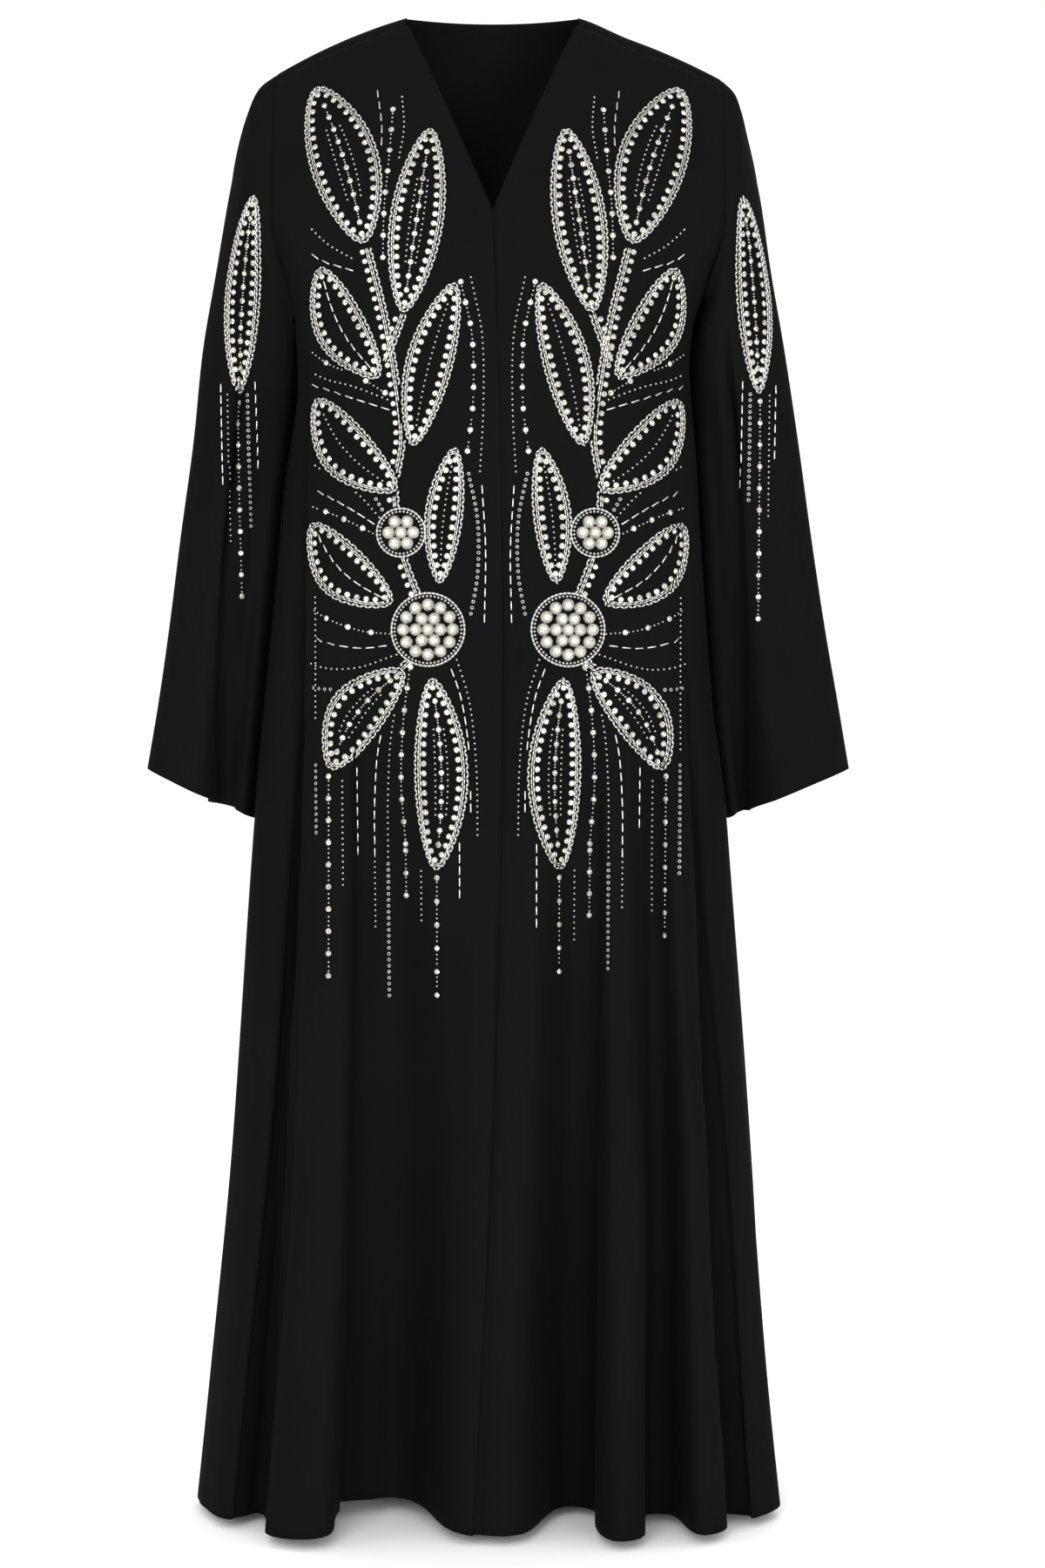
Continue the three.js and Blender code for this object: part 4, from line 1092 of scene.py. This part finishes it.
# Kinds of beads: the piece they are part of, their form and their finish
KINDS = {
    "stones": ("stones_", RHINESTONE, CRYSTAL),
    "seeds": ("seeds_", ball(0), GLASS),
    "rings": ("seeds_", ring_form(), GLASS),
    "bugles": ("cord_", BUGLE, SILVER),
    "links": ("cord_", ball(1), GLASS),
    "edge_seeds": ("cord_", ball(0), GLASS),
    "crystals": ("crystals_", turned_form(CUT_PROFILE, 12, CUT_PHASES), CUT_STONE),
    "settings": ("crystals_", ring_form(16, 5, 0.14), SILVER),
}


class Beads:
    """Copies of small forms on the cloth, gathered by piece and finish."""

    def __init__(self):
        self.groups = {}

    def add(self, word, kind, spots, size, lift):
        """spots are (point, along, normal), and size is (along, across, up) in mm."""
        if not spots:
            return
        piece, (points, faces), material = KINDS[kind]
        centre, along, normal = (np.array(part) for part in zip(*spots))
        axes = np.stack([along, np.cross(normal, along), normal], 1)
        placed = np.einsum("pk,nkd->npd", points * np.array(size), axes)
        placed += (centre + normal * lift)[:, None, :]
        numbers = faces[None] + (np.arange(len(spots)) * len(points))[:, None, None]
        group = self.groups.setdefault(piece + word, [])
        group.append((placed.reshape(-1, 3), numbers.reshape(-1, 3), material))

    def finish(self, piece, smooth_shaded):
        parts = self.groups[piece]
        materials = list(dict.fromkeys(material for _, _, material in parts))
        starts = np.cumsum([0] + [len(placed) for placed, _, _ in parts])
        faces = [numbers + start for (_, numbers, _), start in zip(parts, starts)]
        index = [np.full(len(numbers), materials.index(material)) for _, numbers, material in parts]
        points = np.concatenate([placed for placed, _, _ in parts]) * MM
        index = np.concatenate(index)
        made = add_mesh(piece, points, np.concatenate(faces), materials, smooth_shaded, index)
        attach(made, "root")
        return made


beads = Beads()


def resampled(path, spacing, closed=False):
    """Points of a path at an even spacing."""
    if closed:
        path = np.concatenate([path, path[:1]])
    run = np.concatenate([[0], np.cumsum(np.linalg.norm(np.diff(path, axis=0), axis=-1))])
    count = max(1, round(run[-1] / spacing))
    at = run[-1] * np.arange(count if closed else count + 1) / count
    return np.stack([np.interp(at, run, path[:, 0]), np.interp(at, run, path[:, 1])], -1)


def offset_path(path, distance):
    """The path moved sideways: to its right as it runs."""
    along = unit(np.gradient(path, axis=0))
    return path + distance * np.stack([along[:, 1], -along[:, 0]], -1)


def spots_on(surface, places, turn=0):
    """The cloth's point, the direction along the row and the normal at each place of a row."""
    found = []
    heading = np.gradient(places, axis=0) if len(places) > 1 else np.array([[1.0, 0.0]])
    for (x, z), (dx, dz) in zip(places, heading):
        hit = surface.at(x, z)
        if hit is None:
            continue
        point, normal = hit
        along = np.array([dx, 0, dz])
        along = unit(along - normal * (along @ normal))
        if turn:
            swing = math.radians(turn if len(found) % 2 else -turn)
            along = along * math.cos(swing) + np.cross(normal, along) * math.sin(swing)
        found.append((point, along, normal))
    return found


def curve_through(points, side, steps=24):
    """A smooth path through a few points, given for the right-hand half."""
    points = np.array(points, float) * (side, 1)
    if len(points) == 2:
        return mix(points[0], points[1], np.linspace(0, 1, steps)[:, None])
    rows = [{"t": t, "x": x, "z": z} for t, (x, z) in enumerate(points)]
    t = np.linspace(0, len(points) - 1, steps * (len(points) - 1))
    return np.stack([track(rows, "x", t, "t"), track(rows, "z", t, "t")], -1)


# The design, given for the right-hand half and mirrored: a spray of leaves, stems and hanging strands
LEAVES = table(
    "name base tip width bend",
    ("shoulder", (118, -228), (164, -76), 64, 4),
    ("neck", (84, -290), (60, -122), 50, 0),
    ("chest", (106, -348), (160, -246), 48, -8),
    ("heart", (76, -408), (38, -262), 44, -4),
    ("side", (90, -448), (164, -362), 50, -10),
    ("front", (52, -530), (38, -408), 36, -3),
    ("waist", (94, -548), (168, -474), 50, -10),
    ("hip", (84, -604), (150, -694), 52, 10),
    ("drop", (58, -612), (54, -784), 50, -6),
    ("sleeve", (220, -176), (237, -352), 36, 3),
)
BAND = 13
ROSETTES = table("x z rings", (86, -484, 1), (62, -570, 2))
STONE = 11
STONE_HALF = STONE * 0.47
STONE_LIFT = 3.4
SETTING_LIFT = 1.8
STEMS = (
    [(70, -545), (86, -500), (92, -446), (86, -400), (92, -346), (102, -290), (116, -234)],
    [(100, -330), (92, -310), (84, -288)],
    [(70, -588), (78, -598), (86, -606)],
)
# Rows of beads that fan out between the leaves. kind is what they are made of.
ROWS = table(
    "kind points",
    ("stones", [(92, -574), (125, -570), (158, -556), (184, -532)]),
    ("bugles", [(91, -583), (126, -586), (160, -578), (187, -558)]),
    ("seeds", [(90, -592), (128, -604), (160, -602), (188, -586)]),
    ("rings", [(108, -610), (140, -622), (168, -620), (188, -608)]),
    ("bugles", [(104, -480), (132, -462), (160, -446), (186, -432)]),
    ("seeds", [(102, -474), (124, -450), (152, -430), (184, -408)]),
    ("stones", [(104, -488), (140, -470), (168, -458), (187, -450)]),
    ("rings", [(100, -468), (118, -440), (144, -416), (176, -384)]),
    ("stones", [(100, -360), (126, -344), (154, -330), (184, -304)]),
    ("seeds", [(98, -366), (128, -354), (156, -344), (184, -326)]),
    ("bugles", [(100, -374), (130, -364), (154, -354), (185, -342)]),
    ("seeds", [(130, -240), (152, -226), (172, -204), (184, -172)]),
    ("bugles", [(132, -250), (158, -240), (180, -222)]),
    ("stones", [(102, -240), (101, -196), (97, -150), (94, -104)]),
    ("seeds", [(88, -150), (84, -122), (86, -92)]),
    ("bugles", [(104, -146), (104, -118), (108, -88)]),
    ("stones", [(33, -262), (23, -310), (22, -366), (27, -412)]),
    ("seeds", [(24, -258), (14, -310), (13, -372), (16, -430)]),
    ("rings", [(26, -432), (18, -474), (18, -520), (24, -556)]),
    ("bugles", [(14, -446), (11, -500), (12, -560)]),
    ("seeds", [(38, -592), (25, -636), (19, -694), (18, -752)]),
    ("bugles", [(44, -598), (32, -634), (25, -684), (24, -728)]),
    ("stones", [(78, -602), (84, -652), (86, -706), (82, -760)]),
    ("seeds", [(86, -616), (95, -664), (98, -716), (98, -772)]),
    ("bugles", [(92, -624), (106, -672), (110, -722), (110, -768)]),
)
# Strands that hang almost straight down from a place: left and right are their lengths on the two sides.
STRAND_LEAN = 0.995
STRANDS = table(
    "x z left right kind",
    (54, -790, 104, 84, "stones"),
    (68, -784, 44, 62, "seeds"),
    (82, -766, 40, 58, "stones"),
    (150, -700, 176, 142, "stones"),
    (138, -704, 92, 116, "seeds"),
    (162, -690, 60, 96, "rings"),
    (126, -696, 70, 46, "bugles"),
    (163, -540, 108, 136, "seeds"),
    (34, -742, 62, 88, "bugles"),
    (98, -778, 118, 92, "rings"),
    (110, -776, 58, 40, "seeds"),
)
SLEEVE_STRANDS = table(
    "x z left right kind",
    (238, -358, 176, 198, "stones"),
    (229, -352, 118, 96, "rings"),
    (247, -352, 132, 110, "seeds"),
    (222, -344, 70, 88, "bugles"),
    (253, -346, 84, 60, "bugles"),
)


LEAF_FULLNESS = 0.28


def leaf_frame(leaf, side):
    """A leaf's base, its length and the directions along and across it."""
    base = np.array([side * leaf["base"][0], leaf["base"][1]], float)
    tip = np.array([side * leaf["tip"][0], leaf["tip"][1]], float)
    length = np.linalg.norm(tip - base)
    axis = (tip - base) / length
    return base, length, axis, np.array([-axis[1], axis[0]]) * side


def leaf_point(leaf, side, angle, out=1.0, inset=BAND / 2):
    """Places in a leaf: angle runs round its outline, and out is 1 on the outline and 0 on its vein."""
    base, length, axis, across = leaf_frame(leaf, side)
    along = (1 - np.cos(angle)) / 2
    wide = np.sin(angle) * (1 - LEAF_FULLNESS * np.cos(angle) ** 2) * (leaf["width"] / 2 - inset)
    sway = leaf["bend"] * np.sin(math.pi * along)
    run = mix(inset, length - inset, along)
    return base + run[:, None] * axis + (wide * out + sway)[:, None] * across


ROSETTE_ROOM = 6
LEAF_ROOM = 1.5


def rosette_reach(rosette):
    return (rosette["rings"] + 0.5) * STONE


def covered(place, side):
    """Whether a place lies on a leaf or a rosette."""
    for rosette in ROSETTES:
        away = math.hypot(place[0] - side * rosette["x"], place[1] - rosette["z"])
        if away < rosette_reach(rosette) + ROSETTE_ROOM:
            return True
    for leaf in LEAVES:
        base, length, axis, across = leaf_frame(leaf, side)
        share = (place - base) @ axis / length
        if not 0 < share < 1:
            continue
        cos = 1 - 2 * share
        wide = math.sqrt(1 - cos * cos) * (1 - LEAF_FULLNESS * cos * cos) * leaf["width"] / 2
        if abs((place - base) @ across - leaf["bend"] * math.sin(math.pi * share)) < wide + LEAF_ROOM:
            return True
    return False


# Rows of beads leave the deep fold of each side bare, between these distances from the middle.
SIDE_FOLD = (167, 205)


def open_spots(surface, places, side, turn=0):
    """The spots of a row that no leaf, rosette or side fold covers. A side of 0 keeps them all."""
    spots = spots_on(surface, places, turn)
    if not side:
        return spots
    inner, outer = SIDE_FOLD
    spots = [spot for spot in spots if not inner < abs(spot[0][0]) < outer]
    return [spot for spot in spots if not covered(spot[0][[0, 2]], side)]


# Rows of one kind of bead: spacing, size and lift. Four small seeds lie between each two stones.
ROW_KINDS = {
    "stones": (20, (2.6, 2.6, 2.3), 1.1),
    "seeds": (5, (1.05, 1.05, 1.0), 0.8),
    "rings": (5.4, (1.7, 1.7, 1.7), 0.6),
    "bugles": (11, (3.9, 0.7, 0.7), 0.7),
}
BETWEEN = 4
BETWEEN_SIZE = (0.95, 0.95, 0.9)
BETWEEN_LIFT = 0.8


def add_row(word, surface, path, kind, side, scale=1.0):
    """A row of beads of one kind along a path."""
    spacing, size, lift = ROW_KINDS[kind]
    spacing *= scale
    beads.add(word, kind, open_spots(surface, resampled(path, spacing), side), size, lift)
    if kind == "stones":
        fine = resampled(path, spacing / (BETWEEN + 1))
        between = fine[[i for i in range(len(fine)) if i % (BETWEEN + 1)]]
        beads.add(word, "seeds", open_spots(surface, between, side), BETWEEN_SIZE, BETWEEN_LIFT)


# Rows of a leaf's band: oval links outside, two bright lines in the middle and cut stones inside. inset is
# how far each row runs inside the outline, and turn swings its beads to and fro.
BAND_ROWS = table(
    "inset spacing kind size lift turn",
    (1.9, 3.8, "links", (2.2, 1.0, 1.0), 1.3, 26),
    (4.5, 5.0, "bugles", (2.3, 0.62, 0.7), 1.7, 0),
    (6.2, 5.0, "bugles", (2.3, 0.62, 0.7), 1.7, 0),
    (9.4, 8.6, "stones", (2.7, 2.7, 2.4), 1.7, 0),
)
STEM_ROWS = table(
    "out spacing kind size turn",
    (4.2, 8.6, "stones", (2.5, 2.5, 2.3), 0),
    (0.9, 5.0, "bugles", (2.3, 0.62, 0.7), 0),
    (-0.8, 5.0, "bugles", (2.3, 0.62, 0.7), 0),
    (-3.4, 3.8, "links", (2.2, 1.0, 1.0), 26),
)
STEM_LIFT = 1.4
ROSETTE_ROWS = table(
    "out spacing kind size",
    (2.2, 3.4, "edge_seeds", (1.3, 1.3, 1.2)),
    (4.8, 3.8, "links", (2.3, 1.1, 1.1)),
)
ROSETTE_LIFT = 1.3
RIBBED = ("shoulder", "neck", "drop", "hip", "sleeve")
BUGLE_VEINED = ("chest", "waist")
RIBBED_FROM = 45


def add_leaf(word, surface, leaf, side):
    """A leaf's band, its vein and, in a wide one, a rib on each side of it."""
    angle = np.linspace(0, 2 * math.pi, 240, endpoint=False)
    for row in BAND_ROWS:
        places = resampled(leaf_point(leaf, side, angle, inset=row["inset"]), row["spacing"], True)
        beads.add(word, row["kind"], spots_on(surface, places, row["turn"]), row["size"], row["lift"])
    vein = leaf_point(leaf, side, np.linspace(0.62, math.pi - 0.66, 40), 0)
    if leaf["name"] not in RIBBED:
        add_row(word, surface, vein, "bugles" if leaf["name"] in BUGLE_VEINED else "seeds", 0)
        return
    add_row(word, surface, vein, "stones", 0, 0.62)
    if leaf["width"] > RIBBED_FROM:
        for turn in (1, -1):
            rib = leaf_point(leaf, side, turn * np.linspace(1.05, math.pi - 1.1, 40), 0.3)
            add_row(word, surface, rib, "seeds", 0)


def add_stem(word, surface, path, side):
    for row in STEM_ROWS:
        places = resampled(offset_path(path, row["out"] * side), row["spacing"])
        spots = open_spots(surface, places, side, row["turn"])
        beads.add(word, row["kind"], spots, row["size"], STEM_LIFT)


def add_rosette(word, surface, rosette, side):
    """Large cut stones in rings, each in its setting, and two rows of beads round the whole."""
    middle = np.array([side * rosette["x"], rosette["z"]], float)
    spots = spots_on(surface, middle[None])
    for ring in range(1, rosette["rings"] + 1):
        for k in range(6 * ring):
            angle = 2 * math.pi * k / (6 * ring)
            place = middle + ring * STONE * np.array([math.cos(angle), math.sin(angle)])
            spots += spots_on(surface, place[None])
    half = STONE_HALF
    beads.add(word, "crystals", spots, (half, half, half * 1.05), STONE_LIFT)
    beads.add(word, "settings", spots, (half * 1.1, half * 1.1, half * 1.4), SETTING_LIFT)
    angle = np.linspace(0, 2 * math.pi, 160, endpoint=False)
    for row in ROSETTE_ROWS:
        radius = rosette_reach(rosette) + row["out"]
        circle = middle + radius * np.stack([np.cos(angle), np.sin(angle)], -1)
        places = resampled(circle, row["spacing"], True)
        beads.add(word, row["kind"], spots_on(surface, places), row["size"], ROSETTE_LIFT)


for word, side in SIDES.items():
    front = surfaces["front_lapping" if side < 0 else "front_under"]
    sleeve = surfaces["sleeve_" + word]
    for leaf in LEAVES:
        add_leaf(word, sleeve if leaf["name"] == "sleeve" else front, leaf, side)
    for stem in STEMS:
        add_stem(word, front, curve_through(stem, side), side)
    for row in ROWS:
        add_row(word, front, curve_through(row["points"], side), row["kind"], side)
    for rosette in ROSETTES:
        add_rosette(word, front, rosette, side)
    for strands, surface in ((STRANDS, front), (SLEEVE_STRANDS, sleeve)):
        for strand in strands:
            x, z = strand["x"], strand["z"]
            path = curve_through([(x, z), (x * STRAND_LEAN, z - strand[word])], side)
            add_row(word, surface, path, strand["kind"], side)

for word in SIDES:
    leaf_nodes = ["beads_" + leaf["name"] + "_" + word for leaf in LEAVES]
    stone_nodes = ["stones_upper_" + word, "stones_lower_" + word]
    for kind, nodes, smooth_shaded in (
        ("cord_", leaf_nodes, True),
        ("crystals_", stone_nodes, False),
        ("stones_", leaf_nodes, False),
        ("seeds_", leaf_nodes, True),
    ):
        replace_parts(beads.finish(kind + word, smooth_shaded), *nodes)

for made in cloth_pieces.values():
    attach(made, "root")

for word in SIDES:
    sleeve = cloth_pieces["sleeve_" + word]

# Stage

FLOOR_Z = -1.372


def plain_material(name, colour, roughness):
    made = bpy.data.materials.new(name)
    made.use_nodes = True
    shader = made.node_tree.nodes["Principled BSDF"]
    shader.inputs["Base Color"].default_value = (*colour, 1)
    shader.inputs["Roughness"].default_value = roughness
    shader.inputs["Specular IOR Level"].default_value = 0
    return made


def make_floor():
    size = 30
    corners = [(x, y, FLOOR_Z) for x, y in ((-size, -size), (size, -size), (size, size), (-size, size))]
    white = plain_material("floor", (0.98, 0.98, 0.98), 0.9)
    add_mesh("floor", corners, [(0, 1, 2, 3)], [white], False)


def make_light(name, at, aim, width, height, power):
    data = bpy.data.lights.new(name, "AREA")
    data.shape = "RECTANGLE"
    data.size = width
    data.size_y = height
    data.energy = power
    light = bpy.data.objects.new(name, data)
    light.location = at
    light.rotation_euler = (Vector(aim) - Vector(at)).to_track_quat("-Z", "Y").to_euler()
    bpy.context.scene.collection.objects.link(light)


def make_world(strength):
    world = bpy.data.worlds.new("studio")
    world.use_nodes = True
    background = world.node_tree.nodes["Background"]
    background.inputs["Color"].default_value = (1, 1, 1, 1)
    background.inputs["Strength"].default_value = strength
    bpy.context.scene.world = world


make_floor()
make_world(1.06)
make_light("key", (-0.8, -3.8, 0.4), (0, 0, -0.65), 1.6, 2.2, 106)
make_light("fill", (1.3, -3.5, -1.0), (0, 0, -0.9), 1.4, 1.6, 98)
make_light("back", (0.4, 3.4, 0.6), (0, 0, -0.6), 2.0, 1.6, 45)
bpy.context.scene.view_settings.view_transform = "Standard"
